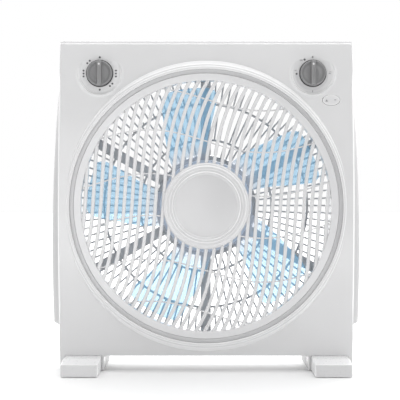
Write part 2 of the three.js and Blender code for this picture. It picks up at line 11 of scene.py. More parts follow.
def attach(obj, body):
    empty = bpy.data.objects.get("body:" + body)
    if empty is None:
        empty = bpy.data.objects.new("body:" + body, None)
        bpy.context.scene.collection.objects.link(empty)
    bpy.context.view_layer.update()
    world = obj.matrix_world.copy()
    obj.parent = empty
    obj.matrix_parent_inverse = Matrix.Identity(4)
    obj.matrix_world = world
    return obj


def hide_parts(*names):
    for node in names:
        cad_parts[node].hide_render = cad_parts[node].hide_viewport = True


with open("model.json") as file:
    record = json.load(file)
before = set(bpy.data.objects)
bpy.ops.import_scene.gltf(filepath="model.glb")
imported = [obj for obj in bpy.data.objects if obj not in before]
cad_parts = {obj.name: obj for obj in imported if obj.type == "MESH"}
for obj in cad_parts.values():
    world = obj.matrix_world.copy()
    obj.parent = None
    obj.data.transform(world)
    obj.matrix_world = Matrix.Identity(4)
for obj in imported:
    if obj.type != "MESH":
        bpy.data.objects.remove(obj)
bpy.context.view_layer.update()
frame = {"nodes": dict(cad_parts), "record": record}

NODES = frame["nodes"]
MM = 0.001
PI = math.pi
scene = bpy.context.scene

# ------------------------------------------------------------------ driving sizes, mm, as in the CAD
AX, TOP, WALL = 199.0, 398.0, 2.6
FRONT_Y, SAG, JOIN_Y, BACK_Y = -47.0, 14.0, -12.0, 47.0
SLOT_HW, FLOOR_Z = 122.8, 18.8
OPEN_R, RIM_R, SLAT_R, HUB_R, CAP_R = 163.0, 158.2, 149.6, 51.6, 46.3
PITCH, SLATS = 9.345, 32
REAR_R, REAR_IN, RING_IN, RING_OUT, SPOKE_W = 163.0, 160.0, 85.0, 131.0, 13.0
KNOB_X, KNOB_Z, K_Y, DISH_Y = 127.8, 357.9, -37.6, -36.3
ROCK_X, ROCK_Z = 149.4, 325.4
BLADE_R, BLADES = 146.0, 5
ROLLER_C = 162.3
FOOT_IN, FOOT_OUT, FOOT_H, FOOT_LEN = 126.5, 169.0, 18.0, 161.0
FOOT_X = (FOOT_IN + FOOT_OUT) / 2


def sag(z):
    return SAG * ((z - AX) / AX) ** 2


def slope(z):
    return 2 * SAG * (z - AX) / AX**2


def panel_hw(z):
    return 177.0 - 1.2 * ((z - AX) / AX) ** 2


def wing(z):
    return 190.5 - (z - 150.0) ** 2 / 4590.0


def smooth(a, b, x):
    t = min(1.0, max(0.0, (x - a) / (b - a)))
    return t * t * (3 - 2 * t)


R_TILT, R_Y = -math.atan(slope(ROCK_Z)), FRONT_Y + sag(ROCK_Z)


def diag(deg, r):
    return r * math.cos(math.radians(deg)), AX + r * math.sin(math.radians(deg))


ROLLER_ANG = {"drive": -45, "g1": 45, "g2": 135, "g3": 225}
POSTS = [(158, 379), (-158, 379), (158, 33), (-158, 33), (75, 29.5), (-75, 29.5)]
MOTOR_XZ = diag(-45, 178)
EARS = [(MOTOR_XZ[0] + 19.1, MOTOR_XZ[1] + 19.1), (MOTOR_XZ[0] - 19.1, MOTOR_XZ[1] - 19.1)]


# ------------------------------------------------------------------ materials
def nodes_of(mat):
    mat.use_nodes = True
    nt = mat.node_tree
    nt.nodes.clear()
    out = nt.nodes.new("ShaderNodeOutputMaterial")
    bs = nt.nodes.new("ShaderNodeBsdfPrincipled")
    nt.links.new(bs.outputs["BSDF"], out.inputs["Surface"])
    return nt, bs


def noise(nt, coord, scale, detail=3.0, rough=0.55):
    n = nt.nodes.new("ShaderNodeTexNoise")
    n.inputs["Scale"].default_value = scale
    n.inputs["Detail"].default_value = detail
    n.inputs["Roughness"].default_value = rough
    nt.links.new(coord, n.inputs["Vector"])
    return n.outputs["Fac"]


def span(nt, value, a, b, lo=0.25, hi=0.75):
    m = nt.nodes.new("ShaderNodeMapRange")
    m.inputs["From Min"].default_value = lo
    m.inputs["From Max"].default_value = hi
    m.inputs["To Min"].default_value = a
    m.inputs["To Max"].default_value = b
    nt.links.new(value, m.inputs["Value"])
    return m.outputs["Result"]


def mixed(nt, fac, a, b):
    m = nt.nodes.new("ShaderNodeMix")
    m.data_type = "RGBA"
    m.inputs[6].default_value = (*a, 1) if isinstance(a, tuple) else (0, 0, 0, 1)
    m.inputs[7].default_value = (*b, 1) if isinstance(b, tuple) else (0, 0, 0, 1)
    if not isinstance(a, tuple):
        nt.links.new(a, m.inputs[6])
    if not isinstance(b, tuple):
        nt.links.new(b, m.inputs[7])
    nt.links.new(fac, m.inputs[0])
    return m.outputs[2]


def tint(c, k):
    return tuple(min(1.0, max(0.0, x * k)) for x in c)


def plastic(name, base, rough=0.4, spread=0.05, vary=0.03, grain=2400.0, bump=0.08, wear=0.06, spec=0.5, alpha=1.0, coat=0.0, side_light_paint=0.0, edge_only=True):
    """Moulded plastic: faint mottle in the colour, fine spark-eroded grain, scuffed and slightly paler edges. An
    optional painted highlight gives the rounded and drafted edges, whose normals turn away from the front, a paler base
    colour in place of the bright side light they would catch; without edge_only the upright sides get it as well."""
    mat = bpy.data.materials.new(name)
    nt, bs = nodes_of(mat)
    tc = nt.nodes.new("ShaderNodeTexCoord")
    co = tc.outputs["Object"]
    broad = noise(nt, co, 14.0, 2.0)
    fine = noise(nt, co, 420.0, 4.0, 0.6)
    col = mixed(nt, span(nt, broad, 0.0, 1.0), tint(base, 1 - vary), tint(base, 1 + vary * 0.6))
    geo = nt.nodes.new("ShaderNodeNewGeometry")
    edge = span(nt, geo.outputs["Pointiness"], 0.0, 1.0, 0.53, 0.62)
    scuff = nt.nodes.new("ShaderNodeMath")
    scuff.operation = "MULTIPLY"
    nt.links.new(edge, scuff.inputs[0])
    nt.links.new(span(nt, noise(nt, co, 90.0, 5.0, 0.7), 0.0, wear, 0.4, 0.75), scuff.inputs[1])
    pale = tint(base, 1.0)
    pale = tuple(c + (1 - c) * 0.55 for c in pale)
    col = mixed(nt, scuff.outputs[0], col, pale)
    # painted highlight: where the normal turns away from the front, the base colour is lifted toward pale grey in place
    # of the brighter side light
    if side_light_paint:
        sp = nt.nodes.new("ShaderNodeSeparateXYZ")
        nt.links.new(geo.outputs["Normal"], sp.inputs[0])
        ab = nt.nodes.new("ShaderNodeMath")
        ab.operation = "ABSOLUTE"
        nt.links.new(sp.outputs["Y"], ab.inputs[0])
        slope = span(nt, ab.outputs[0], side_light_paint, 0.0, 0.70, 0.955)
        if edge_only:
            both = nt.nodes.new("ShaderNodeMath")
            both.operation = "MULTIPLY"
            nt.links.new(slope, both.inputs[0])
            nt.links.new(span(nt, ab.outputs[0], 0.15, 1.0, 0.08, 0.35), both.inputs[1])
            slope = both.outputs[0]
        col = mixed(nt, slope, col, (0.87, 0.87, 0.875))
    nt.links.new(col, bs.inputs["Base Color"])
    nt.links.new(span(nt, fine, rough - spread, rough + spread), bs.inputs["Roughness"])
    bs.inputs["Specular IOR Level"].default_value = spec
    bs.inputs["IOR"].default_value = 1.49
    bs.inputs["Coat Weight"].default_value = coat
    bs.inputs["Alpha"].default_value = alpha
    bp = nt.nodes.new("ShaderNodeBump")
    bp.inputs["Strength"].default_value = bump
    bp.inputs["Distance"].default_value = 0.0002
    nt.links.new(noise(nt, co, grain, 2.0), bp.inputs["Height"])
    nt.links.new(bp.outputs["Normal"], bs.inputs["Normal"])
    return mat


def frosted(name, base, through, behind, rough=0.25, clear=0.5, lit=0.5, painted_glow=None, root=None):
    """Tinted clear plastic: partly seen through, partly glowing with the light behind it. The optional emission is
    painted light: it brightens the piece where it sits in shade inside the housing.
    """
    mat = plastic(name, base, rough=rough, spread=0.04, vary=0.03, bump=0.03, wear=0.0)
    nt = mat.node_tree
    bs = next(n for n in nt.nodes if n.type == "BSDF_PRINCIPLED")
    out = next(n for n in nt.nodes if n.type == "OUTPUT_MATERIAL")
    # painted light: emission that lifts the piece out of the shade inside the housing
    if painted_glow:
        bs.inputs["Emission Color"].default_value = (*painted_glow[:3], 1)
        bs.inputs["Emission Strength"].default_value = painted_glow[3]
    tl = nt.nodes.new("ShaderNodeBsdfTranslucent")
    tl.inputs["Color"].default_value = (*behind, 1)
    tr = nt.nodes.new("ShaderNodeBsdfTransparent")
    tr.inputs["Color"].default_value = (*through, 1)
    if root:
        # the blade turns greyer and paler toward the hub
        tc = nt.nodes.new("ShaderNodeTexCoord")
        mp = nt.nodes.new("ShaderNodeMapping")
        mp.inputs["Location"].default_value = (0, 0, -AX * MM)
        mp.inputs["Scale"].default_value = (1, 0, 1)
        ln = nt.nodes.new("ShaderNodeVectorMath")
        ln.operation = "LENGTH"
        nt.links.new(tc.outputs["Object"], mp.inputs["Vector"])
        nt.links.new(mp.outputs["Vector"], ln.inputs[0])
        f = span(nt, ln.outputs["Value"], 0.0, 1.0, 0.060, 0.080)
        own = bs.inputs["Base Color"].links[0].from_socket
        nt.links.new(mixed(nt, f, root, own), bs.inputs["Base Color"])
        nt.links.new(mixed(nt, f, root, behind), tl.inputs["Color"])
        nt.links.new(mixed(nt, f, (0.95, 0.96, 0.98), through), tr.inputs["Color"])
        if painted_glow:
            nt.links.new(mixed(nt, f, tint(root, 1.15), painted_glow[:3]), bs.inputs["Emission Color"])
    m1 = nt.nodes.new("ShaderNodeMixShader")
    m1.inputs[0].default_value = lit
    nt.links.new(bs.outputs[0], m1.inputs[1])
    nt.links.new(tl.outputs[0], m1.inputs[2])
    m2 = nt.nodes.new("ShaderNodeMixShader")
    m2.inputs[0].default_value = clear
    nt.links.new(m1.outputs[0], m2.inputs[1])
    nt.links.new(tr.outputs[0], m2.inputs[2])
    nt.links.new(m2.outputs[0], out.inputs["Surface"])
    return mat


def metal(name, base, rough=0.35, spread=0.08, stretch=(1, 1, 1), scale=600.0, bump=0.1, metallic=1.0, dull=None):
    """Bare or plated metal: drawn or turned streaks in the roughness, blotches of dulled plating."""
    mat = bpy.data.materials.new(name)
    nt, bs = nodes_of(mat)
    tc = nt.nodes.new("ShaderNodeTexCoord")
    mp = nt.nodes.new("ShaderNodeMapping")
    mp.inputs["Scale"].default_value = stretch
    nt.links.new(tc.outputs["Object"], mp.inputs["Vector"])
    streak = noise(nt, mp.outputs["Vector"], scale, 4.0, 0.6)
    blotch = noise(nt, tc.outputs["Object"], 55.0, 4.0, 0.6)
    col = mixed(nt, span(nt, blotch, 0.0, 1.0), base, dull or tint(base, 0.78))
    nt.links.new(col, bs.inputs["Base Color"])
    nt.links.new(span(nt, streak, rough - spread, rough + spread), bs.inputs["Roughness"])
    bs.inputs["Metallic"].default_value = metallic
    bp = nt.nodes.new("ShaderNodeBump")
    bp.inputs["Strength"].default_value = bump
    bp.inputs["Distance"].default_value = 0.0001
    nt.links.new(streak, bp.inputs["Height"])
    nt.links.new(bp.outputs["Normal"], bs.inputs["Normal"])
    return mat


def banded(name, a, b, pitch, rough, metallic, turns=False):
    """Stamped laminations or wound wire: fine lines across the piece."""
    mat = bpy.data.materials.new(name)
    nt, bs = nodes_of(mat)
    tc = nt.nodes.new("ShaderNodeTexCoord")
    w = nt.nodes.new("ShaderNodeTexWave")
    w.wave_type = "BANDS"
    w.bands_direction = "Z" if turns else "Y"
    w.inputs["Scale"].default_value = 1.0 / pitch / 3.0
    w.inputs["Distortion"].default_value = 0.6 if turns else 0.05
    w.inputs["Detail"].default_value = 1.0
    nt.links.new(tc.outputs["Object"], w.inputs["Vector"])
    col = mixed(nt, w.outputs["Fac"], a, b)
    nt.links.new(col, bs.inputs["Base Color"])
    nt.links.new(span(nt, noise(nt, tc.outputs["Object"], 300.0, 4.0), rough - 0.1, rough + 0.1), bs.inputs["Roughness"])
    bs.inputs["Metallic"].default_value = metallic
    bp = nt.nodes.new("ShaderNodeBump")
    bp.inputs["Strength"].default_value = 0.4
    bp.inputs["Distance"].default_value = 0.0003
    nt.links.new(w.outputs["Fac"], bp.inputs["Height"])
    nt.links.new(bp.outputs["Normal"], bs.inputs["Normal"])
    return mat


MATS = {
    # the shell's rounded and drafted edges carry a painted highlight in their base colour
    "shell": plastic("shell_abs", (0.588, 0.588, 0.593), rough=0.24, spread=0.04, bump=0.04, wear=0.03, spec=0.8, side_light_paint=0.8),
    "grille": plastic("grille_pp", (0.588, 0.588, 0.596), rough=0.24, spread=0.04, bump=0.03, wear=0.03, spec=0.8),
    # blade, hub and guard glow a little: painted light, emission standing in for light reaching them inside the housing
    "blade": frosted("blade_blue", (0.52, 0.79, 1.0), (0.82, 0.935, 1.0), (0.58, 0.84, 1.0), clear=0.68, lit=0.55, painted_glow=(0.36, 0.64, 0.96, 0.30), root=(0.68, 0.72, 0.78)),
    "hub": frosted("blade_hub_pale", (0.66, 0.72, 0.80), (0.93, 0.96, 1.0), (0.80, 0.86, 0.94), clear=0.30, lit=0.4, painted_glow=(0.86, 0.92, 1.0, 0.24)),
    "guard": frosted("guard_milky", (0.62, 0.62, 0.63), (1.0, 1.0, 1.0), (0.90, 0.90, 0.91), clear=0.0, lit=0.2, painted_glow=(1.0, 1.0, 1.0, 0.03)),
    "knob": plastic("knob_grey", (0.212, 0.212, 0.215), rough=0.34, spread=0.05, vary=0.04, bump=0.08, wear=0.12),
    "black_plastic": plastic("black_pa", (0.018, 0.018, 0.02), rough=0.5, vary=0.15, bump=0.2, wear=0.12),
    "nylon": plastic("nylon_natural", (0.72, 0.69, 0.60), rough=0.45, vary=0.04, bump=0.1),
    "rubber": plastic("rubber_dark", (0.035, 0.035, 0.036), rough=0.85, spread=0.08, vary=0.2, grain=1500.0, bump=0.35, wear=0.1, spec=0.25),
    "steel": metal("steel_pressed", (0.56, 0.57, 0.58), rough=0.36, stretch=(1, 1, 6), bump=0.08),
    "zinc": metal("zinc_plated", (0.68, 0.69, 0.70), rough=0.30, spread=0.1, dull=(0.52, 0.53, 0.55)),
    "iron": banded("iron_laminated", (0.17, 0.175, 0.18), (0.07, 0.07, 0.075), 0.0005, 0.5, 0.85),
    "copper": banded("copper_wound", (0.50, 0.20, 0.09), (0.22, 0.08, 0.035), 0.0006, 0.38, 0.8, turns=True),
    "bronze": metal("bronze_sintered", (0.42, 0.28, 0.13), rough=0.5, scale=1400.0, bump=0.25),
}
# the rear half and the feet are a shade darker than the front
REAR_ABS = plastic("shell_abs_rear", (0.525, 0.525, 0.53), rough=0.36, spread=0.05, bump=0.02, wear=0.03, spec=0.5)
# the cap's rounded edges carry the same painted highlight
CAP_ABS = plastic("cap_abs", (0.525, 0.525, 0.532), rough=0.24, spread=0.04, bump=0.03, wear=0.03, spec=0.8, side_light_paint=0.8)
# the feet carry the painted highlight over their whole top and upright sides, not only on rounded edges
FOOT_ABS = plastic("shell_abs_foot", (0.555, 0.555, 0.56), rough=0.3, spread=0.05, bump=0.05, wear=0.03, spec=0.6, side_light_paint=0.9, edge_only=False)
INK = plastic("legend_ink", (0.085, 0.085, 0.09), rough=0.55, vary=0.1, bump=0.05, wear=0.0)
INK_MID = plastic("legend_ink_mid", (0.20, 0.20, 0.21), rough=0.55, vary=0.06, bump=0.05, wear=0.0)
INK_PALE = plastic("legend_ink_pale", (0.50, 0.50, 0.51), rough=0.55, vary=0.06, bump=0.05, wear=0.0)
INK_WHITE = plastic("pointer_white", (0.58, 0.58, 0.58), rough=0.5, vary=0.03, bump=0.05, wear=0.0)


# ------------------------------------------------------------------ mesh helpers, all in mm until done()
def rounded(pts, r=1.0, n=4, closed=True):
    """A polyline of (a, b[, radius]) with its corners rounded."""
    out, m = [], len(pts)
    for i, p in enumerate(pts):
        rad = p[2] if len(p) > 2 else r
        if (not closed and i in (0, m - 1)) or rad <= 0:
            out.append((p[0], p[1]))
            continue
        a, c = pts[i - 1], pts[(i + 1) % m]
        v1 = np.array([a[0] - p[0], a[1] - p[1]], float)
        v2 = np.array([c[0] - p[0], c[1] - p[1]], float)
        l1, l2 = np.linalg.norm(v1), np.linalg.norm(v2)
        v1 /= l1
        v2 /= l2
        ang = math.acos(max(-1, min(1, float(v1 @ v2))))
        if ang > math.radians(176):
            out.append((p[0], p[1]))
            continue
        d = min(rad / math.tan(ang / 2), 0.48 * l1, 0.48 * l2)
        rr = d * math.tan(ang / 2)
        pv = np.array([p[0], p[1]], float)
        bis = v1 + v2
        cen = pv + bis / np.linalg.norm(bis) * rr / math.sin(ang / 2)
        t1, t2 = pv + v1 * d - cen, pv + v2 * d - cen
        a1, a2 = math.atan2(t1[1], t1[0]), math.atan2(t2[1], t2[0])
        da = (a2 - a1 + PI) % (2 * PI) - PI
        for k in range(n + 1):
            a_ = a1 + da * k / n
            out.append((cen[0] + rr * math.cos(a_), cen[1] + rr * math.sin(a_)))
    return out


def resample(pts, step):
    """Splits long sides of a closed polyline."""
    out, m = [], len(pts)
    for i in range(m):
        a, b = pts[i], pts[(i + 1) % m]
        d = math.hypot(b[0] - a[0], b[1] - a[1])
        k = max(1, int(math.ceil(d / step)))
        for j in range(k):
            out.append((a[0] + (b[0] - a[0]) * j / k, a[1] + (b[1] - a[1]) * j / k))
    return out


def dedupe(pts, eps=1e-4):
    out = []
    for p in pts:
        if not out or math.hypot(p[0] - out[-1][0], p[1] - out[-1][1]) > eps:
            out.append(p)
    if math.hypot(out[0][0] - out[-1][0], out[0][1] - out[-1][1]) <= eps:
        out.pop()
    return out


def outward(pts):
    """Unit outward normals of a closed counter-clockwise polyline."""
    P = np.array(pts, float)
    e = np.roll(P, -1, 0) - P
    n = np.c_[e[:, 1], -e[:, 0]]
    n /= np.linalg.norm(n, axis=1)[:, None] + 1e-12
    v = n + np.roll(n, 1, 0)
    return v / (np.linalg.norm(v, axis=1)[:, None] + 1e-12)


def lathe(profile, seg=96):
    """Profile of (r, y) turned about Y: closed on itself, or from axis to axis."""
    verts, faces, rings = [], [], []
    for r, y in profile:
        if r <= 1e-6:
            rings.append([len(verts)])
            verts.append((0, y, 0))
        else:
            rings.append(list(range(len(verts), len(verts) + seg)))
            verts += [(r * math.cos(2 * PI * k / seg), y, r * math.sin(2 * PI * k / seg)) for k in range(seg)]
    pairs = list(zip(rings, rings[1:]))
    if not (profile[0][0] <= 1e-6 and profile[-1][0] <= 1e-6):
        pairs.append((rings[-1], rings[0]))
    for A, B in pairs:
        if len(A) == 1 and len(B) == 1:
            continue
        for k in range(seg):
            j = (k + 1) % seg
            if len(A) == 1:
                faces.append((A[0], B[k], B[j]))
            elif len(B) == 1:
                faces.append((A[k], B[0], A[j]))
            else:
                faces.append((A[k], B[k], B[j], A[j]))
    return verts, faces


def turned(pts, r=0.5, seg=96, n=3):
    """lathe() of a profile with rounded corners; a point's third number is its own radius."""
    axis = pts[0][0] <= 1e-6 and pts[-1][0] <= 1e-6
    return lathe(rounded(pts, r, n, closed=not axis), seg)


def loft(rings, closed=False):
    n, m = len(rings[0]), len(rings)
    verts = [tuple(p) for r in rings for p in r]
    faces = []
    for i in range(m if closed else m - 1):
        for j in range(n):
            a, b = i * n + j, i * n + (j + 1) % n
            i2 = (i + 1) % m
            faces.append((a, b, i2 * n + (j + 1) % n, i2 * n + j))
    if not closed:
        faces.append(tuple(range(n))[::-1])
        faces.append(tuple((m - 1) * n + k for k in range(n)))
    return verts, faces


def moved(vf, x=0.0, y=0.0, z=0.0, tilt=0.0, spin=0.0):
    """tilt turns about X, spin about Y (a point on +X goes towards +Z), both before the shift."""
    c, s = math.cos(tilt), math.sin(tilt)
    cs, ss = math.cos(spin), math.sin(spin)
    out = []
    for px, py, pz in vf[0]:
        px, pz = px * cs - pz * ss, px * ss + pz * cs
        py, pz = py * c - pz * s, py * s + pz * c
        out.append((px + x, py + y, pz + z))
    return out, vf[1]


def upright(vf, x=0.0, y=0.0, z=0.0):
    """A turned piece stood on its end: its +Y goes to +Z."""
    return [(px + x, -pz + y, py + z) for px, py, pz in vf[0]], vf[1]


def merge(*parts):
    verts, faces = [], []
    for v, f in parts:
        o = len(verts)
        verts += list(v)
        faces += [tuple(i + o for i in q) for q in f]
    return verts, faces


def raw(name, vf, weld=0.004):
    me = bpy.data.meshes.new(name)
    me.from_pydata([tuple(float(c) for c in v) for v in vf[0]], [], [tuple(f) for f in vf[1]])
    ob = bpy.data.objects.new(name, me)
    scene.collection.objects.link(ob)
    bm = bmesh.new()
    bm.from_mesh(me)
    bmesh.ops.remove_doubles(bm, verts=bm.verts, dist=weld)
    bmesh.ops.dissolve_degenerate(bm, edges=bm.edges, dist=1e-4)
    bmesh.ops.recalc_face_normals(bm, faces=bm.faces)
    bm.to_mesh(me)
    bm.free()
    return ob


def cut(ob, vf, op="DIFFERENCE"):
    """Boolean with a mesh given as (verts, faces) or as an object, which is used up."""
    other = vf if isinstance(vf, bpy.types.Object) else raw("tool", vf)
    mod = ob.modifiers.new("b", "BOOLEAN")
    mod.operation = op
    mod.solver = "MANIFOLD"
    mod.object = other
    bpy.context.view_layer.update()
    dg = bpy.context.evaluated_depsgraph_get()
    me = bpy.data.meshes.new_from_object(ob.evaluated_get(dg))
    before = len(ob.data.polygons)
    ob.modifiers.remove(mod)
    old = ob.data
    ob.data = me
    bpy.data.meshes.remove(old)
    bpy.data.objects.remove(other)
    if len(me.polygons) == before:
        print("boolean changed nothing:", ob.name, op)
    if len(me.polygons) == 0:
        print("boolean left nothing:", ob.name, op)
    return ob


def join(ob, vf):
    return cut(ob, vf, "UNION")


def done(ob, body, mat, nodes=(), sharp=33.0, weighted=True):
    me = ob.data
    bm = bmesh.new()
    bm.from_mesh(me)
    bmesh.ops.remove_doubles(bm, verts=bm.verts, dist=0.002)
    bmesh.ops.dissolve_degenerate(bm, edges=bm.edges, dist=1e-4)
    loose = [e for e in bm.edges if not e.link_faces]
    bmesh.ops.delete(bm, geom=loose, context="EDGES")
    loose = [v for v in bm.verts if not v.link_faces]
    bmesh.ops.delete(bm, geom=loose, context="VERTS")
    open_edges = sum(1 for e in bm.edges if len(e.link_faces) != 2)
    if open_edges:
        print("open or shared edges:", ob.name, open_edges)
    bm.to_mesh(me)
    bm.free()
    me.transform(Matrix.Scale(MM, 4))
    me.shade_smooth()
    me.set_sharp_from_angle(angle=math.radians(sharp))
    me.materials.clear()
    me.materials.append(MATS[mat] if isinstance(mat, str) else mat)
    if weighted:
        wn = ob.modifiers.new("normals", "WEIGHTED_NORMAL")
        wn.keep_sharp = True
        wn.weight = 50
    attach(ob, body)
    if nodes:
        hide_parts(*nodes)
    return ob


def rect(w, h, r, n=5):
    return rounded([(-w, -h), (w, -h), (w, h), (-w, h)], r, n)


def prism(pts, ys, y_to_in):
    """Rings of an (x, z) outline at y levels, each pulled in by its own amount."""
    N = outward(pts)
    P = np.array(pts, float)
    return loft([[(x, y, z) for x, z in (P - N * d)] for y, d in zip(ys, y_to_in)])


# ------------------------------------------------------------------ camera first, then the pieces
cam_data = bpy.data.cameras.new("camera")
cam_data.sensor_width = 36.0
cam_data.lens = 90.78
cam_data.clip_start = 0.01
cam_data.clip_end = 60.0
cam = bpy.data.objects.new("camera", cam_data)
cam.location = (-0.00744, -1.247, 0.2061)
cam.rotation_euler = (math.radians(90), 0, 0)
scene.collection.objects.link(cam)
scene.camera = cam


# ------------------------------------------------------------------ front shell
def dish(x, z):
    """1 on the flat upright floor of a knob's dish, 0 on the bowed panel outside it; a short wall and a rounded lip between."""
    return 1 - smooth(23.5, 26.2, math.hypot(abs(x) - KNOB_X, z - KNOB_Z))


def dish_back(x, z):
    return 1 - smooth(29.2, 32.5, math.hypot(abs(x) - KNOB_X, z - KNOB_Z))


def front_y(x, z):
    w = dish(x, z)
    base = FRONT_Y + sag(z)
    r = math.hypot(abs(x) - KNOB_X, z - KNOB_Z)
    if 25.0 < r < 28.6:
        base -= 0.5 * math.sin(PI * (r - 25.0) / 3.6) ** 1.5 * smooth(0.1, 1.6, DISH_Y - base)
    return base + w * max(0.0, DISH_Y - base) if w > 0 else base


def panel_outline():
    right = [(SLOT_HW, FLOOR_Z, 3.5), (SLOT_HW, 1.0, 1.5), (126.0, 1.0, 1.5), (126.0, FLOOR_Z, 0.6),
             (169.5, FLOOR_Z, 0.6), (169.5, 1.0, 1.5), (panel_hw(1), 1.0, 1.5)]
    right += [(panel_hw(z), float(z), 0.0) for z in range(8, 391, 6)]
    right += [(panel_hw(398), TOP, 2.2)]
    left = [(-x, z, r) for x, z, r in reversed(right)]
    return dedupe(resample(rounded(right + left, n=5), 5.0))


def inside(poly, pts):
    P = np.array(poly)
    A, B = P, np.roll(P, -1, 0)
    res = np.zeros(len(pts), bool)
    pts = np.array(pts)
    for (x1, z1), (x2, z2) in zip(A, B):
        c = (z1 > pts[:, 1]) != (z2 > pts[:, 1])
        if not c.any():
            continue
        xi = x1 + (pts[:, 1] - z1) * (x2 - x1) / ((z2 - z1) if z2 != z1 else 1e-12)
        res ^= c & (pts[:, 0] < xi)
    return res


def front_shell():
    P = np.array(panel_outline())
    N = outward(P)
    H = [0.0, 0.10, 0.38, 0.80, 1.30, 2.20, 2.75, 2.95, 3.05, 3.20, 3.60, 4.5]
    D_LOW = [1.3, 0.80, 0.38, 0.10, 0.0, 0.0, 0.0, 0.0, 0.0, 0.0, 0.0, 0.0]
    D_SIDE = [2.4, 2.05, 1.7, 1.32, 0.9, 0.32, 0.10, 0.03, 0.0, 0.0, 0.0, 0.0]
    D_TOP = [4.7, 4.22, 3.84, 3.58, 3.42, 3.30, 3.10, 2.4, 1.4, 0.50, 0.12, 0.0]
    rings = []
    thin = np.where((np.abs(P[:, 0]) < 130) & (P[:, 1] < 16), 0.6, 1.0)
    for h, dl, dw, dt in zip(H, D_LOW, D_SIDE, D_TOP):
        ds = dl + (dw - dl) * np.clip((np.abs(N[:, 0]) - 0.9) / 0.09, 0, 1) * np.clip((P[:, 1] - 40) / 40, 0, 1) * np.clip((360 - P[:, 1]) / 20, 0, 1)
        dz = np.where(N[:, 1] > 0, dt, ds * thin)
        Q = P - np.c_[N[:, 0] * ds * thin, N[:, 1] * dz]
        Q[:, 1] = np.minimum(Q[:, 1], TOP - dt)
        rings.append([(x, FRONT_Y + sag(z) + h, z) for x, z in Q])
    rings.append([(x, JOIN_Y - 0.5, z) for x, z in P])
    rings.append([(x, JOIN_Y, z) for x, z in (P - N * 0.4)])
    verts, faces = loft(rings)
    faces = faces[:-2]
    n = len(P)
    faces.append(tuple((len(rings) - 1) * n + k for k in range(n)))
    # the panel face: outline, a regular grid, and close rings round the dishes
    loop = [(x, z) for x, _, z in rings[0]]
    pts = []
    zs = np.arange(4.0, 396.0, 6.0)
    for r, z in enumerate(zs):
        for x in np.arange(-174.0 + (3.0 if r % 2 else 0.0), 174.1, 6.0):
            pts.append((float(x), float(z)))
    keep = inside(loop, pts)
    L = np.array(loop)
    good = []
    for p, k in zip(pts, keep):
        if not k:
            continue
        if np.min(np.hypot(L[:, 0] - p[0], L[:, 1] - p[1])) < 2.6:
            continue
        rho = math.hypot(abs(p[0]) - KNOB_X, p[1] - KNOB_Z)
        if 18.5 < rho < 31.8:
            continue
        if math.hypot(p[0], p[1] - AX) < 158 and (int(p[0]) % 3 or int(p[1]) % 2):
            continue
        good.append(p)
    for s in (-1, 1):
        for j, rho in enumerate([19.6, 21.6, 23.0, 23.5, 23.9, 24.25, 24.6, 24.95, 25.3, 25.65, 26.0, 26.35, 26.7, 27.1, 27.5, 27.9, 28.3, 28.7, 29.5, 30.6]):
            for k in range(96):
                a = 2 * PI * (k + 0.5 * (j % 2)) / 96
                good.append((s * KNOB_X + rho * math.cos(a), KNOB_Z + rho * math.sin(a)))
    co = [Vector(p) for p in loop] + [Vector(p) for p in good]
    edges = [(i, (i + 1) % n) for i in range(n)]
    v2, _, f2, *_ = delaunay_2d_cdt(co, edges, [], 1, 1e-4)
    o = len(verts)
    verts += [(v.x, front_y(v.x, v.y), v.y) for v in v2]
    faces += [tuple(i + o for i in f) for f in f2]
    ob = raw("front_housing", (verts, faces))

    # opening, then the hollow behind the panel
    cut(ob, lathe_at([(0, -60), (OPEN_R + 1.4, -60), (OPEN_R + 1.4, 0), (0, 0)], 192, 0, AX))
    zs = list(np.linspace(FLOOR_Z + WALL, TOP - WALL, 76))
    us = list(np.linspace(-1, 1, 73))
    nz, nu = len(zs), len(us)
    cv, cf = [], []
    for back in (0, 1):
        for z in zs:
            hw = panel_hw(z) - WALL
            for u in us:
                x = u * hw
                y = FRONT_Y + sag(z) + WALL
                y += dish_back(x, z) * max(0.0, DISH_Y + WALL - y) + max(0.0, z - 388.5) * 0.75
                if back:
                    y = JOIN_Y + 4
                cv.append((x, y, z))
    g = lambda b, i, j: b * nz * nu + i * nu + j
    for i in range(nz - 1):
        for j in range(nu - 1):
            cf.append((g(0, i, j), g(0, i, j + 1), g(0, i + 1, j + 1), g(0, i + 1, j)))
            cf.append((g(1, i, j), g(1, i + 1, j), g(1, i + 1, j + 1), g(1, i, j + 1)))
    for i in range(nz - 1):
        for j in (0, nu - 1):
            cf.append((g(0, i, j), g(0, i + 1, j), g(1, i + 1, j), g(1, i, j)))
    for j in range(nu - 1):
        for i in (0, nz - 1):
            cf.append((g(0, i, j), g(0, i, j + 1), g(1, i, j + 1), g(1, i, j)))
    cut(ob, (cv, cf))

    collar = turned([
        (OPEN_R, -47.8, 2.2), (OPEN_R + 3.1, -47.8, 0.8), (OPEN_R + 4.0, -46.9, 0.7), (OPEN_R + 6.2, -46.6, 2.2),
        (OPEN_R + 11.9, -35.4, 0.3), (OPEN_R + 3, -35.4, 0.5), (OPEN_R + 3, -28, 0.6), (152, -28, 0.8),
        (152, -30.5, 0.8), (OPEN_R + 1.15, -30.5, 0.8), (OPEN_R + 1.15, -41.3, 0.3)], seg=256)
    join(ob, moved(collar, 0, 0, AX))
    for x, z in POSTS:
        join(ob, moved(turned([(0, FRONT_Y + sag(z) + 1), (5.2, FRONT_Y + sag(z) + 1), (5.2, JOIN_Y - 0.3), (0, JOIN_Y - 0.3)], 0.3, 32), x, 0, z))
    for x, z in EARS:
        join(ob, moved(turned([(0, FRONT_Y + sag(z) + 1), (4, FRONT_Y + sag(z) + 1), (4, -27.7), (0, -27.7)], 0.3, 32), x, 0, z))
    for x in (-FOOT_X, FOOT_X):
        join(ob, upright(turned([(0, FLOOR_Z + 1), (5, FLOOR_Z + 1), (5, 36), (0, 36)], 0.3, 32), x, -22, 0))
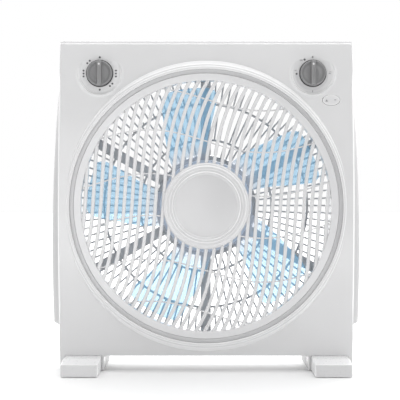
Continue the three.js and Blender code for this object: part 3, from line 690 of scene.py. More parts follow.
    # holes: shafts, rocker, roller pockets and pins, screws
    for x in (-KNOB_X, KNOB_X):
        cut(ob, moved(lathe([(0, 0), (4.2, 0), (4.2, 9), (0, 9)], 48), x, K_Y, KNOB_Z))
    rk = []
    for y, g_ in [(-6, 1.3), (-0.12, 1.3), (-0.02, 0.95), (0.07, 0.6), (0.2, 0.3), (0.42, 0.1), (0.75, 0.01), (1.1, 0.0), (8, 0.0)]:
        rk.append([((10.7 + g_) * math.cos(a), y, (6.5 + g_) * math.sin(a)) for a in np.linspace(0, 2 * PI, 96, endpoint=False)])
    cut(ob, moved(loft(rk), ROCK_X, R_Y, ROCK_Z, R_TILT))
    for k, a in ROLLER_ANG.items():
        x, z = diag(a, ROLLER_C)
        cut(ob, moved(lathe([(0, -39.2), (8.3, -39.2), (8.3, -30.5 + 0.01), (0, -30.5 + 0.01)], 48), x, 0, z))
        r = 4.0 if k == "drive" else 2.4
        cut(ob, moved(lathe([(0, -31.5), (r, -31.5), (r, -27), (0, -27)], 32), x, 0, z))
    for x, z in POSTS:
        cut(ob, moved(lathe([(0, -30), (2.0, -30), (2.0, JOIN_Y - 1.0), (2.7, JOIN_Y + 1), (0, JOIN_Y + 1)], 24), x, 0, z))
    for x, z in EARS:
        cut(ob, moved(lathe([(0, -38), (1.6, -38), (1.6, -27), (0, -27)], 24), x, 0, z))
    for x in (-FOOT_X, FOOT_X):
        cut(ob, upright(lathe([(0, FLOOR_Z - 2), (2, FLOOR_Z - 2), (2, 37), (0, 37)], 24), x, -22, 0))
    return done(ob, "housing", "shell", ["front_shell"], sharp=30)


def lathe_at(profile, seg, x, z):
    return moved(lathe(profile, seg), x, 0, z)


front_shell()


# ------------------------------------------------------------------ rear shell
def rear_outline():
    right = [(SLOT_HW, FLOOR_Z, 3.5), (SLOT_HW, 1.0, 1.5), (126.0, 1.0, 1.5), (126.0, FLOOR_Z, 0.6),
             (169.5, FLOOR_Z, 0.6), (169.5, 1.0, 1.5), (176.3, 1.0, 1.5), (176.3, 49.5, 1.5), (wing(55.0), 55.0, 2.0)]
    right += [(wing(z), float(z), 0.0) for z in range(61, 388, 6)]
    right += [(176.7, TOP, 4.0)]
    left = [(-x, z, r) for x, z, r in reversed(right)]
    return dedupe(resample(rounded(right + left, n=5), 6.0))


def rear_rings(P, levels, wall=0.0):
    N = outward(P)
    rings = []
    for y, k, inset, all_in in levels:
        ring = []
        for (x, z), (nx, nz) in zip(P, N):
            s = 1 if x > 0 else -1
            ax = abs(x)
            if ax > 176.3:
                ax = 176.3 + k * (ax - 176.3)
            low = smooth(49.5, 56, z)
            side_in = min(inset, 4.0) * (1 - low) + inset * low
            edge = ax > 172 and abs(nx) > 0.05
            if edge and nx * s > 0:
                ax -= abs(nx) * (side_in + wall)
            elif abs(nx) > 0.05:
                ax -= nx * s * (all_in + wall)
            if nz > 0.05 and z > 60:
                z2 = z - nz * (inset + wall)
            else:
                z2 = z - nz * (all_in + wall)
            if z2 > 56:
                lim = 176.3 + k * (wing(min(z2, 392)) - 176.3) - inset - wall
                ax = min(ax, lim)
            z2 = min(z2, TOP - inset - wall)
            ring.append((s * ax, y, z2))
        rings.append(ring)
    return rings


def rear_shell():
    P = rear_outline()
    lev = []
    for y in [-11.7, -11.3]:
        lev.append([y, 0.1, 0.0, 0.4 if y < -11.5 else 0.0])
    for y in [-9.8, -8.0, -6.0, -4.0, -2.0, 0.0, 2.0, 4.0]:
        t = (y + 11.7) / 15.7
        lev.append([y, 0.1 + 0.9 * (1 - (1 - t) ** 1.55), 0.0, 0.0])
    lev += [[14, 1, 0, 0], [24, 1, 0, 0], [34, 1, 0, 0]]
    for s in [0.25, 0.45, 0.62, 0.76, 0.87, 0.95, 0.99, 1.0]:
        y = 34 + 13 * s
        ins = 9 * (1 - math.sqrt(max(0.0, 1 - s * s)))
        a = max(0.0, (y - 45.8) / 1.2)
        lev.append([y, 1, ins, 1.2 * (1 - math.sqrt(max(0.0, 1 - a * a)))])
    rings = rear_rings(P, lev)
    rings[0] = [(x - (0.4 if x > 0 else -0.4) * (abs(x) > 172), y, z - 0.4 * (z > 396)) for x, y, z in rings[0]]
    ob = raw("rear_housing", loft(rings))
    # hollow
    inner = [(-160, 21.4, 2.0), (160, 21.4, 2.0), (173.7, 21.4, 2.0), (173.7, 53.0, 1.0), (wing(58) - WALL, 58.0, 1.0)]
    inner += [(wing(z) - WALL, float(z), 0.0) for z in range(70, 386, 12)] + [(172.0, TOP - WALL, 3.0)]
    left = [(-x, z, r) for x, z, r in reversed(inner[1:])]
    I = dedupe(resample(rounded(inner[1:] + left, n=4), 12.0))
    rr = []
    for y, k, ins in [(-14, 0.1, 0), (-11.7, 0.1, 0), (-8, 0.42, 0), (-4, 0.72, 0), (0, 0.92, 0), (4, 1, 0), (33.5, 1, 0), (38, 1, 1.2), (41.5, 1, 3.6), (43.6, 1, 6.2), (44.4, 1, 8.6)]:
        ring = []
        for x, z in I:
            s = 1 if x > 0 else -1
            ax = abs(x)
            if ax > 173.7:
                ax = 173.7 + k * (ax - 173.7)
            if ax > 165:
                low = smooth(49.5, 56, z)
                ax -= min(ins, 4) * (1 - low) + ins * low
            z2 = min(z, TOP - WALL - ins)
            if z2 > 56:
                ax = min(ax, 176.3 + k * (wing(min(z2, 392)) - 176.3) - ins - WALL)
            ring.append((s * ax, y, z2))
        rr.append(ring)
    cut(ob, loft(rr))
    for x, z in POSTS:
        join(ob, moved(turned([(0, -11.7), (5.2, -11.7), (5.2, BACK_Y - 1.5), (0, BACK_Y - 1.5)], 0.3, 32), x, 0, z))
    bx = rect(54, 10.6, 3)
    join(ob, moved(loft([[(x, y, z) for x, z in bx] for y in (20.5, BACK_Y - 1)]), 0, 0, 376.6))
    for x in (-FOOT_X, FOOT_X):
        join(ob, upright(turned([(0, FLOOR_Z + 1), (5, FLOOR_Z + 1), (5, 36), (0, 36)], 0.3, 32), x, 30, 0))
    # grille opening, grip, counterbores, gland
    cut(ob, lathe_at([(0, 40), (163.4, 40), (163.4, 45.9), (163.75, 46.6), (164.6, 47.4), (164.6, 52), (0, 52)], 192, 0, AX))
    g0 = np.array(rect(51, 8.0, 5))
    gn = outward(g0)
    gr = [[(x, y, z) for x, z in (g0 + gn * d)] for y, d in [(52, 2.4), (47.2, 2.4), (46.6, 1.4), (45.9, 0.6), (45.0, 0.12), (44.2, 0.0), (25, -0.6), (23.6, -1.2), (23, -2.4)]]
    cut(ob, moved(loft(gr), 0, 0, 376.6))
    for x, z in POSTS:
        cut(ob, moved(lathe([(0, -13), (2.8, -13), (2.1, -10.6), (2.1, 2), (0, 2)], 24), x, 0, z))
        yb = BACK_Y
        cut(ob, moved(lathe([(0, 0), (4.2, 0), (4.2, yb - 0.7), (5.2, yb + 0.3), (5.2, 56), (0, 56)], 48), x, 0, z))
    for x in (-FOOT_X, FOOT_X):
        cut(ob, upright(lathe([(0, FLOOR_Z - 2), (2, FLOOR_Z - 2), (2, 37), (0, 37)], 24), x, 30, 0))
    cut(ob, lathe_at([(0, 40), (7.3, 40), (7.3, 46.6), (8.0, 47.3), (8.0, 52), (0, 52)], 48, 120, 40))
    return done(ob, "housing", REAR_ABS, ["rear_shell"], sharp=30)


rear_shell()


# ------------------------------------------------------------------ rear grille
def back(r):
    t = (r - 63) / (REAR_R - 63)
    return 66.5 - 8.5 * max(0.0, t) ** 1.25


def radial_bar(r0, r1, w, depth, rise, deg, rad, steps=6):
    """Bar along a radius: w across, from back(r) - depth to back(r) - rise, edges rounded."""
    sec = rounded([(-w / 2, -depth), (w / 2, -depth), (w / 2, -rise), (-w / 2, -rise)], rad, 3)
    c, s = math.cos(math.radians(deg)), math.sin(math.radians(deg))
    rings = []
    for i in range(steps + 1):
        r = r0 + (r1 - r0) * i / steps
        rings.append([(r * c - u * s, back(r) + v, AX + r * s + u * c) for u, v in sec])
    return loft(rings)


def rear_grille():
    drum = turned([(REAR_IN, 41.4, 0.4), (REAR_R + 3.4, 41.4, 0.6), (REAR_R + 3.4, 44.1, 0.6), (REAR_R, 44.1, 0.2), (REAR_R, back(REAR_R), 1.2), (REAR_IN, back(REAR_IN), 1.2)], seg=192)
    ob = raw("rear_guard", moved(drum, 0, 0, AX))
    ribs = []
    for s in range(6):
        for n, pitch, r0, r1 in [(7, 6.35, 65.0, 84.6), (11, 4.5, 85.4, 130.6), (15, 3.6, 131.4, 161.1)]:
            for i in range(n):
                ribs.append(radial_bar(r0, r1, 2.05, 4.7, 0.4, 60 * s + (i - (n - 1) / 2) * pitch, 0.55, 5))
    join(ob, merge(*ribs))
    rings = merge(*[turned([(r - 1.35, back(r) - 5.4, 0.5), (r + 1.35, back(r) - 5.4, 0.5), (r + 1.35, back(r), 0.6), (r - 1.35, back(r), 0.6)], seg=144) for r in (RING_IN, RING_OUT)])
    join(ob, moved(rings, 0, 0, AX))
    join(ob, merge(*[radial_bar(61.5, 161.2, SPOKE_W, 9, -0.15, 60 * s + 30, 1.6, 8) for s in range(6)]))
    bowl = turned([(0, 62.5), (60, 62.5, 1.5), (60, 40, 0.4), (62.6, 40, 0.4), (65.2, 56, 2.0), (66, 64.5, 3.0), (62.5, 66.5, 3.0), (0, 66.5)], seg=128)
    join(ob, moved(bowl, 0, 0, AX))
    for a in (45, 135, 225, 315):
        x, z = diag(a, 30)
        join(ob, moved(turned([(0, 58.8), (5, 58.8), (5, 63), (0, 63)], 0.3, 32), x, 0, z))
    # shallow turned steps in the middle of the bowl, and the screw holes
    cut(ob, moved(turned([(0, 65.8), (15.5, 65.8, 0.5), (16.3, 67), (16.3, 68), (0, 68)], 0.3, 96), 0, 0, AX))
    for a in (45, 135, 225, 315):
        x, z = diag(a, 30)
        cut(ob, moved(lathe([(0, 57), (2.2, 57), (2.2, 66.1), (2.8, 66.7), (2.8, 68), (0, 68)], 32), x, 0, z))
    return done(ob, "housing", "guard", ["rear_grille"], sharp=32)


rear_grille()


# ------------------------------------------------------------------ feet and pads
def foot_piece(side, sx):
    h, top = FOOT_LEN / 2, FOOT_H + 0.7
    prof = rounded([(-h, 1.0, 1.6), (h, 1.0, 1.6), (h - 2, 15.0, 0.8), (60, top, 1.6), (-60, top, 1.6), (-h + 2, 15.0, 0.8)], n=5)
    prof = dedupe(resample(prof, 14.0))
    P = np.array(prof)
    N = outward(prof)
    hw = (FOOT_OUT - FOOT_IN) / 2 + 0.4
    rings = []
    for x, d in [(-hw, 1.4), (-hw + 0.1, 0.87), (-hw + 0.41, 0.41), (-hw + 0.87, 0.1), (-hw + 1.4, 0.0), (0, 0.0),
                 (hw - 1.4, 0.0), (hw - 0.87, 0.1), (hw - 0.41, 0.41), (hw - 0.1, 0.87), (hw, 1.4)]:
        rings.append([(x, y, z) for y, z in (P - N * d)])
    ob = raw("foot_" + side + "_bar", moved(loft(rings), sx * FOOT_X, 0, 0))
    for y in (-66, 66):
        cut(ob, upright(lathe([(0, -1), (7.7, -1), (7.7, 1.1), (7.3, 1.5), (7.3, 2.7), (0, 2.7)], 48), sx * FOOT_X, y, 0))
    for y in (-22, 30):
        cut(ob, upright(lathe([(0, -1), (5.0, -1), (5.0, 1.1), (4.4, 1.7), (4.4, 8), (2.2, 8), (2.2, 20), (0, 20)], 40), sx * FOOT_X, y, 0))
    done(ob, "housing", FOOT_ABS, ["foot_" + side], sharp=30)
    for end, y in (("front", -66), ("rear", 66)):
        pad = upright(turned([(0, 0.0), (5.2, 0.0, 0.2), (5.6, 0.5, 0.2), (6.0, 0.0, 0.25), (7, 0, 0.5), (7, 2.4, 0.2), (0, 2.4)], 0.2, 64), sx * FOOT_X, y, 0)
        done(raw(f"pad_{side}_{end}", pad), "housing", "rubber", [f"foot_pad_{side}_{end}"])


foot_piece("left", -1)
foot_piece("right", 1)


# ------------------------------------------------------------------ screws with a cross recess
def screw(head, shank, head_h, length, hex_=False):
    """Along +Y, the head's end at length + head_h; threads as close rings."""
    pts = [(0, 0), (shank * 0.35, 0.0, 0.1), (shank * 0.95, 2.2, 0.1)]
    y = 2.6
    while y < length - 3.2:
        pts += [(shank * 0.80, y, 0.0), (shank * 1.06, y + 0.4, 0.0)]
        y += 0.8
    pts += [(shank * 0.82, y, 0.0), (shank * 0.82, length - 0.1, 0.1), (head, length - 0.1, 0.15),
            (head, length + head_h * 0.35, 0.4), (head * 0.72, length + head_h * 0.86, 1.0), (0, length + head_h)]
    ob = raw("screw", turned(pts, 0.1, 40))
    w, d = head * 0.16, length + head_h
    for rot in (0, 1):
        sec = [(-w, -head * 0.58), (w, -head * 0.58), (w, head * 0.58), (-w, head * 0.58)]
        tap = [(-w * 0.7, -head * 0.22), (w * 0.7, -head * 0.22), (w * 0.7, head * 0.22), (-w * 0.7, head * 0.22)]
        a = [[(x, y, z) if not rot else (z, y, -x) for x, z in s_] for s_, y in ((tap, d - head_h * 0.95), (sec, d - head_h * 0.1), (sec, d + 1))]
        cut(ob, loft(a))
    me = ob.data
    vf = ([tuple(v.co) for v in me.vertices], [tuple(p.vertices) for p in me.polygons])
    bpy.data.objects.remove(ob)
    bpy.data.meshes.remove(me)
    return vf


def put_screw(name, vf, x, y, z, spin, node, up=False):
    m = moved(vf, spin=spin)
    if up:  # head down
        m = [(px + x, pz + y, -py + z) for px, py, pz in m[0]], m[1]
    else:
        m = moved(m, x, y, z)
    done(raw(name, m, weld=0.001), "housing", "zinc", [node], sharp=28)


sc = screw(3.7, 1.6, 2.6, 26)
for i, (x, z) in enumerate(POSTS):
    put_screw(f"housing_screw_{i + 1}", sc, x, 0.3 - 26, z, 0.4 + 1.1 * i, f"shell_screw_{i + 1}")
sc = screw(3.9, 1.6, 2.4, 22)
i = 0
for x in (-FOOT_X, FOOT_X):
    for y in (-22, 30):
        i += 1
        put_screw(f"foot_fixing_{i}", sc, x, y, 29.7, 0.2 + 0.9 * i, f"foot_screw_{i}", up=True)
sc = screw(3.9, 1.7, 2.4, 12)
for i, a in enumerate((45, 135, 225, 315)):
    x, z = diag(a, 30)
    put_screw(f"motor_fixing_{i + 1}", sc, x, 66.5 + 0.05 - 12, z, 0.3 + 1.3 * i, f"motor_screw_{i + 1}")
sc = screw(2.8, 1.1, 1.8, 11)
for i, (x, z) in enumerate(EARS):
    put_screw(f"louvre_motor_fixing_{i + 1}", sc, x, -25.1 - 11, z, 0.5 + i, f"louvre_motor_screw_{i + 1}")


# ------------------------------------------------------------------ motor
def turn_piece(name, pts, body, mat, node, x=0.0, z=AX, y=0.0, tilt=0.0, r=0.4, seg=96, sharp=33):
    return done(raw(name, moved(turned(pts, r, seg), x, y, z, tilt)), body, mat, [node], sharp=sharp)


turn_piece("motor_bracket_front_cup", [(38.6, 27.7), (41, 27.7), (41, 21, 2), (35, 14.5, 3), (4.8, 14.5), (4.8, 16.7), (9.3, 16.7), (9.3, 25.5), (12, 25.5), (12, 17), (33.8, 17, 2), (38.6, 22, 1.5)], "housing", "steel", "motor_bracket_front")
ob = raw("motor_bracket_rear_cup", moved(turned([(41, 46.3), (38.6, 46.3), (38.6, 52, 1.5), (33.8, 56, 2), (12, 56), (12, 48.5), (9.3, 48.5), (9.3, 57), (4.8, 57), (4.8, 58.5), (35, 58.5, 3), (41, 53, 2)], 0.4, 96), 0, 0, AX))
for a in (45, 135, 225, 315):
    x, z = diag(a, 30)
    cut(ob, lathe_at([(0, 50), (2.1, 50), (2.1, 62), (0, 62)], 24, x, z))
done(ob, "housing", "steel", ["motor_bracket_rear"])
turn_piece("stator_stack", [(22.2, 28), (41, 28), (41, 46), (22.2, 46)], "housing", "iron", "stator_core", r=0.3)


def winding(name, y0, y1, node):
    """Six fat coil ends standing on the stack."""
    flip = 1 if y1 > y0 else -1
    seg = 144
    rings = []
    sec = rounded([(24.3, 0), (36.2, 0), (36.2, 3.2), (33, 7.0), (24.3, 7.0)], 1.6, 4)
    for k in range(seg):
        a = 2 * PI * k / seg
        bulge = 0.72 + 0.28 * abs(math.cos(3 * a)) ** 0.6
        ring = []
        for r, h in sec:
            hh = h * bulge
            rr = 30.2 + (r - 30.2) * (0.9 + 0.1 * abs(math.cos(3 * a)) ** 0.6)
            ring.append((rr * math.cos(a), y0 + flip * hh * abs(y1 - y0) / 7.0, AX + rr * math.sin(a)))
        rings.append(ring)
    done(raw(name, loft(rings, closed=True)), "housing", "copper", [node], sharp=50)


winding("coil_ends_front", 27.7, 20.5, "stator_winding_front")
winding("coil_ends_rear", 46.3, 52.4, "stator_winding_rear")
turn_piece("bush_front", [(4.1, 17), (9, 17), (9, 25.2), (4.1, 25.2)], "housing", "bronze", "bearing_front", r=0.6, seg=64)
turn_piece("bush_rear", [(4.1, 48.8), (9, 48.8), (9, 56.7), (4.1, 56.7)], "housing", "bronze", "bearing_rear", r=0.6, seg=64)
ob = raw("motor_cup", moved(turned([(60, 39.7, 0.3), (62.5, 39.7, 0.5), (62.5, 13, 2.5), (60.5, 11, 1.0), (13, 11, 0.5), (13, 13, 0.5), (60, 13, 1.2)], seg=144), 0, 0, AX))
done(ob, "housing", "guard", ["motor_cover"])
cap_sec = rounded([(-12, 44.5), (12, 44.5), (12, 56.5), (-12, 56.5)], 2.0, 4)
cap_sec = [(x_, z_) for z_, x_ in cap_sec]
done(raw("capacitor_box", prism([(x_, AX + z_) for x_, z_ in reversed(cap_sec)], [18, 18.2, 19, 37, 37.8, 38], [1.0, 0.5, 0.0, 0.0, 0.5, 1.0])), "housing", "black_plastic", ["run_capacitor"])
turn_piece("shaft", [(0, -28), (3.2, -28, 0.3), (4, -27, 0.2), (4, 57.5, 0.6), (0, 57.5)], "rotor", "steel", "motor_shaft", r=0.3, seg=48)
turn_piece("rotor_stack", [(4.3, 28), (21.5, 28), (21.5, 46), (4.3, 46)], "rotor", "iron", "rotor_core", r=0.4)


# ------------------------------------------------------------------ blade
def cubic(xs, ys, x):
    """Catmull-Rom through the stations."""
    n = len(xs)
    i = max(0, min(n - 2, next((k for k in range(n - 1) if x <= xs[k + 1]), n - 2)))
    x0, x1 = xs[i], xs[i + 1]
    m0 = (ys[i + 1] - ys[i - 1]) / (xs[i + 1] - xs[i - 1]) if i > 0 else (ys[1] - ys[0]) / (xs[1] - xs[0])
    m1 = (ys[i + 2] - ys[i]) / (xs[i + 2] - xs[i]) if i < n - 2 else (ys[-1] - ys[-2]) / (xs[-1] - xs[-2])
    h = x1 - x0
    t = (x - x0) / h
    return (2 * t**3 - 3 * t**2 + 1) * ys[i] + (t**3 - 2 * t**2 + t) * h * m0 + (-2 * t**3 + 3 * t**2) * ys[i + 1] + (t**3 - t**2) * h * m1


ST = [(54.6, 13.5, 21.5, 7.5, -16.5), (84, 7.4, 18.1, 14, -17.9), (112, 2.4, 16.1, 15, -17.3), (134, 0.1, 15.0, 13.5, -15), (146.0, -0.6, 14.4, 12.4, -13.6)]
XS = [s[0] for s in ST]


def blade(mid):
    rings = []
    rs = list(np.linspace(54.6, 132, 18)) + [134.5, 137, 139.3, 141.3, 143.0, 144.3, 145.2, 145.75, BLADE_R]
    CH = 18
    for r in rs:
        c, h, yr, yf = (cubic(XS, [s[k] for s in ST], r) for k in (1, 2, 3, 4))
        e = max(0.0, (r - 133.0) / 13.0)
        shrink = math.degrees(9.5 * (1 - math.sqrt(max(0.0, 1 - e * e))) / r)
        cut_t = shrink / (2 * h)
        th = 1.0 * (1 - 0.45 * smooth(143.5, 146, r))
        top, bot = [], []
        for j in range(CH + 1):
            t0 = j / CH
            t = cut_t + (1 - 2 * cut_t) * (0.5 - 0.5 * math.cos(PI * t0))
            a = math.radians(mid + c + h * (2 * t - 1))
            y = yr + (yf - yr) * t - 3.2 * math.sin(PI * t)
            edge = min(1.0, min(t - cut_t, 1 - cut_t - t) * 2 * math.radians(h) * r / 1.0 + 0.25)
            tt = th * math.sqrt(max(0.05, 1 - (1 - min(1.0, edge)) ** 2))
            top.append((r * math.cos(a), y + tt, AX + r * math.sin(a)))
            bot.append((r * math.cos(a), y - tt, AX + r * math.sin(a)))
        rings.append(top + bot[::-1])
    return loft(rings)


ob = raw("blade_hub", moved(turned([(4.3, -21), (46, -21, 6), (54, -20.2, 3.0), (56, -15, 3.0), (56, 9, 0.8), (53.5, 9, 0.8), (53.5, -15, 3.0), (51, -18.3, 3.0), (11, -18.3, 0.8), (11, 8, 0.5), (4.3, 8, 0.5)], seg=144), 0, 0, AX))
done(ob, "rotor", "hub", sharp=40)
done(raw("blade_set", merge(*[blade(27 + 72 * k) for k in range(BLADES)])), "rotor", "blade", ["fan_blade"], sharp=40)
turn_piece("blade_lock_nut", [(4.3, -21.3), (13, -21.3, 0.4), (14, -24, 0.8), (11, -30.2, 1.5), (0, -31), (0, -28.4), (4.3, -28.4)], "rotor", "blade", "blade_nut", seg=64) if False else None
nut = [(0, -28.4), (4.3, -28.4), (4.3, -21.3), (13, -21.3), (14, -24), (11, -30.2), (0, -31)]
turn_piece("blade_lock_nut", nut, "rotor", "blade", "blade_nut", r=0.6, seg=64)


# ------------------------------------------------------------------ turning louvre
def slat_x(u, z):
    q = (z - AX) / 119.5
    return (u + 8.64 * q + 11.95 * q**3) / (1 - 0.0672 * q * q)


SLAT_SEC = rounded([(-2.15, -43.4), (2.15, -43.4), (1.85, -34.4), (-1.85, -34.4)], 0.9, 3)


def along(path, sec):
    """Section (u across, y) swept along a path of (x, z)."""
    P = np.array(path, float)
    T = np.gradient(P, axis=0)
    T /= np.linalg.norm(T, axis=1)[:, None]
    rings = []
    for (x, z), (tx, tz) in zip(P, T):
        nx, nz = tz, -tx
        rings.append([(x + u * nx, y, z + u * nz) for u, y in sec])
    return loft(rings)


def runs(path, r_in, r_out):
    """The stretches of a fine path that lie between two radii."""
    out, cur = [], []
    for p in path:
        r = math.hypot(p[0], p[1] - AX)
        if r_in <= r <= r_out:
            cur.append(p)
        elif cur:
            out.append(cur)
            cur = []
    if cur:
        out.append(cur)
    res = []
    for c in out:
        if len(c) < 8:
            continue
        k = max(2, int(round(len(c) / 22)))
        idx = [int(round(i * (len(c) - 1) / k)) for i in range(k + 1)]
        res.append([c[i] for i in idx])
    return res


slats = []
for i in range(SLATS):
    u = (i - (SLATS - 1) / 2) * PITCH
    fine = [(slat_x(u, z), z) for z in np.arange(AX - 160, AX + 160.01, 0.25)]
    slats += [along(p, SLAT_SEC) for p in runs(fine, 49.8, 152.3)]
rib_sec = rounded([(-0.8, -41.9), (0.8, -41.9), (0.8, -38.0), (-0.8, -38.0)], 0.45, 3)
cross = []
for zc in (-127.5, -77.4, -25, 25, 77.4, 127.5):
    fine = [(x, AX + zc - 13.7 * math.sin(PI / 2 * x / 68.1)) for x in np.arange(-155, 155.01, 0.25)]
    cross += [along(p, rib_sec) for p in runs(fine, 49.8, 152.3)]
rim = turned([(SLAT_R, -45, 0.9), (RIM_R, -45, 0.9), (RIM_R + 0.8, -41.3, 0.7), (163.85, -41.3, 0.25), (163.85, -40.5, 0.25), (RIM_R, -40.5, 0.2), (RIM_R, -39.5, 0.4), (155, -39.5, 0.3), (155, -33.7, 0.3), (157.5, -33.7, 0.2), (157.5, -32.2, 0.3), (SLAT_R, -32.2, 0.6)], seg=256)
ob = raw("louvre_disc", moved(rim, 0, 0, AX))
join(ob, merge(*slats))
join(ob, merge(*cross))
hub = turned([(0, -33), (HUB_R, -33, 0.6), (HUB_R, -44.9, 1.6), (49.6, -45.9, 1.2), (47.0, -46.1, 0.1), (46.7, -43.6, 0.2), (46.7, -36, 0.3), (0, -36)], seg=144)
join(ob, moved(hub, 0, 0, AX))
done(ob, "louvre", "grille", ["louvre_grille"], sharp=33)
turn_piece("louvre_centre_cap", [(0, -36.3), (CAP_R + 0.35, -36.3, 0.3), (CAP_R + 0.35, -45.6, 0.1), (48.5, -45.6, 0.1), (48.3, -46.4, 0.4), (46.5, -47.7, 1.2), (44.6, -47.8, 1.2), (43.2, -46.9, 1.0), (41.2, -46.9, 1.0), (39.9, -48.2, 1.2), (38.3, -48.3, 1.2), (37.0, -47.7, 1.0), (32, -48.35, 0), (24, -49.0, 0), (14, -49.32, 0), (0, -49.42)], "louvre", CAP_ABS, "louvre_cap", r=0.5, seg=144)

# rollers, pins and the gear motor
wheel = [(2.3, -38.5), (5.0, -38.5, 0.5), (5.3, -38.0, 0.3), (7, -38.4, 0.4), (7, -34.6, 0.4), (5.3, -35.0, 0.3), (5.0, -34.5, 0.5), (2.3, -34.5)]
x, z = diag(-45, ROLLER_C)
turn_piece("louvre_drive_wheel", wheel, "louvre_drive", "rubber", "drive_roller", x, z, r=0.2, seg=64)
turn_piece("louvre_drive_shaft", [(0, -39), (2, -39), (2, -27.7), (0, -27.7)], "louvre_drive", "steel", "louvre_motor_shaft", x, z, r=0.3, seg=32)
for i, (k, body) in enumerate((("g1", "roller_top_right"), ("g2", "roller_top_left"), ("g3", "roller_bottom_left"))):
    x, z = diag(ROLLER_ANG[k], ROLLER_C)
    turn_piece(f"guide_wheel_{i + 1}", wheel, body, "nylon", f"guide_roller_{i + 1}", x, z, r=0.2, seg=64)
    turn_piece(f"guide_pin_{i + 1}", [(0, -39), (2, -39, 0.5), (2, -27.7), (3.6, -27.7), (3.6, -26), (0, -26)], "housing", "steel", f"roller_pin_{i + 1}", x, z, r=0.25, seg=32)
ob = raw("louvre_gear_motor", moved(turned([(0, -27.4), (22, -27.4, 1.2), (22, -20.2, 0.2), (22.0, -19.9, 0.1), (21.5, -19.7, 0.1), (21.5, -12.4, 1.6), (0, -12.4)], 0.4, 96), MOTOR_XZ[0], 0, MOTOR_XZ[1]))
ear = rounded([(-28, -5, 0), (28, -5, 0), (32, 0, 4), (28, 5, 0), (-28, 5, 0), (-32, 0, 4)], 1.0, 4)
join(ob, moved(moved(loft([[(a_, y, b_) for a_, b_ in ear] for y in (-27.3, -25.4)]), spin=PI / 4), MOTOR_XZ[0], 0, MOTOR_XZ[1]))
for x, z in EARS:
    cut(ob, lathe_at([(0, -29), (1.6, -29), (1.6, -24), (0, -24)], 24, x, z))
done(ob, "housing", "steel", ["louvre_motor"])


# ------------------------------------------------------------------ controls
def knob():
    """Bowl-shaped face with a tall grip across it, bored from behind for its shaft."""
    ob = raw("k", turned([(0, -3.3), (7.0, -3.3, 2.5), (11.0, -4.3, 2.5), (13.9, -7.0, 0.6), (14.6, -6.8, 0.6), (15.1, -5.4, 0.8), (15.4, -1.6, 0.5), (15.5, 0.0, 0.4), (15.2, 1.0, 0.3), (3.2, 1.0, 0.3), (3.2, -2.7, 0.2), (0, -2.7)], 0.3, 128))
    plan = resample(rect(1.0, 14.75, 0.45, 4), 0.9)
    rings = []
    for y, w, pull, flare in [(-3.1, 3.6, 0.0, 1.8), (-4.0, 3.3, 0.0, 1.6), (-5.0, 3.0, 0.0, 1.3), (-6.0, 2.8, 0.02, 0.9), (-7.0, 2.68, 0.05, 0.55), (-7.9, 2.6, 0.1, 0.3),
                              (-8.7, 2.52, 0.18, 0.15), (-9.3, 2.42, 0.3, 0.1), (-9.8, 2.25, 0.5, 0.05), (-10.12, 1.9, 0.95, 0.0), (-10.36, 1.4, 1.6, 0.0), (-10.42, 0.8, 2.4, 0.0)]:
        ring = []
        for u, v in plan:
            q = abs(v) / 14.75
            ring.append((u * (w + flare * q**4), y + 0.5 * q * q * min(1.0, max(0.0, -y - 6.0) / 5.0), v * (14.75 - pull) / 14.75))
        rings.append(ring)
    join(ob, loft(rings))
    me = ob.data
    vf = ([tuple(v.co) for v in me.vertices], [tuple(p.vertices) for p in me.polygons])
    bpy.data.objects.remove(ob)
    bpy.data.meshes.remove(me)
    return vf


def disc(r, y0, y1, u, v, seg=24, edge=0.12):
    return moved(turned([(0, y0), (r, y0, edge), (r, y1), (0, y1)], 0.05, seg), u, 0, v)


K = knob()
for side, sx, body in (("speed", -1, "speed_control"), ("timer", 1, "timer_control")):
    at = dict(x=sx * KNOB_X, y=K_Y, z=KNOB_Z)
    done(raw(f"{side}_dial", moved(K, **at), weld=0.001), body, "knob", [f"{side}_knob"], sharp=35)
    done(raw(f"{side}_pointer_dot", moved(disc(1.2, -10.3, -9.0, 0, 10.2, 32), **at)), body, INK_WHITE)
    # a black ring just round the knob's rim: painted shadow standing in for the dark gap between knob and dish
    done(raw(f"{side}_painted_gap_shadow", moved(turned([(14.9, -1.3), (16.25, -1.3), (16.35, 0.7), (14.9, 0.7)], 0.2, 128), **at), weld=0.001), body, "black_plastic")
    turn_piece(f"{side}_spindle", [(0, -2.6), (3, -2.6), (3, 5.6), (0, 5.6)], body, "nylon", f"{side}_shaft", sx * KNOB_X, KNOB_Z, K_Y, r=0.3, seg=32)

for side, sx, w, h, d, mat, node in (("speed", -1, 17, 15, 20, "black_plastic", "speed_switch"), ("timer", 1, 20, 18, 25, "nylon", "timer_unit")):
    pr = prism(rect(w, h, 2.0), [5.9, 6.1, 6.9, 5.9 + d - 1, 5.9 + d - 0.2, 5.9 + d], [0.9, 0.4, 0.0, 0.0, 0.4, 0.9])
    ob = raw(f"{side}_case", moved(pr, sx * KNOB_X, K_Y, KNOB_Z))
    done(ob, "housing", mat, [node])
pr = prism(rect(12, 8, 1.5), [9.6, 9.8, 10.4, 21.2, 21.8, 22], [0.7, 0.3, 0.0, 0.0, 0.3, 0.7])
done(raw("louvre_switch_case", moved(pr, ROCK_X, R_Y, ROCK_Z, R_TILT)), "housing", "black_plastic", ["louvre_switch"])


def legend(parts, name, mat, at):
    done(raw(name, moved(merge(*parts), **at), weld=0.001), "housing", mat)


def polar(r, deg):
    return r * math.cos(math.radians(deg)), r * math.sin(math.radians(deg))


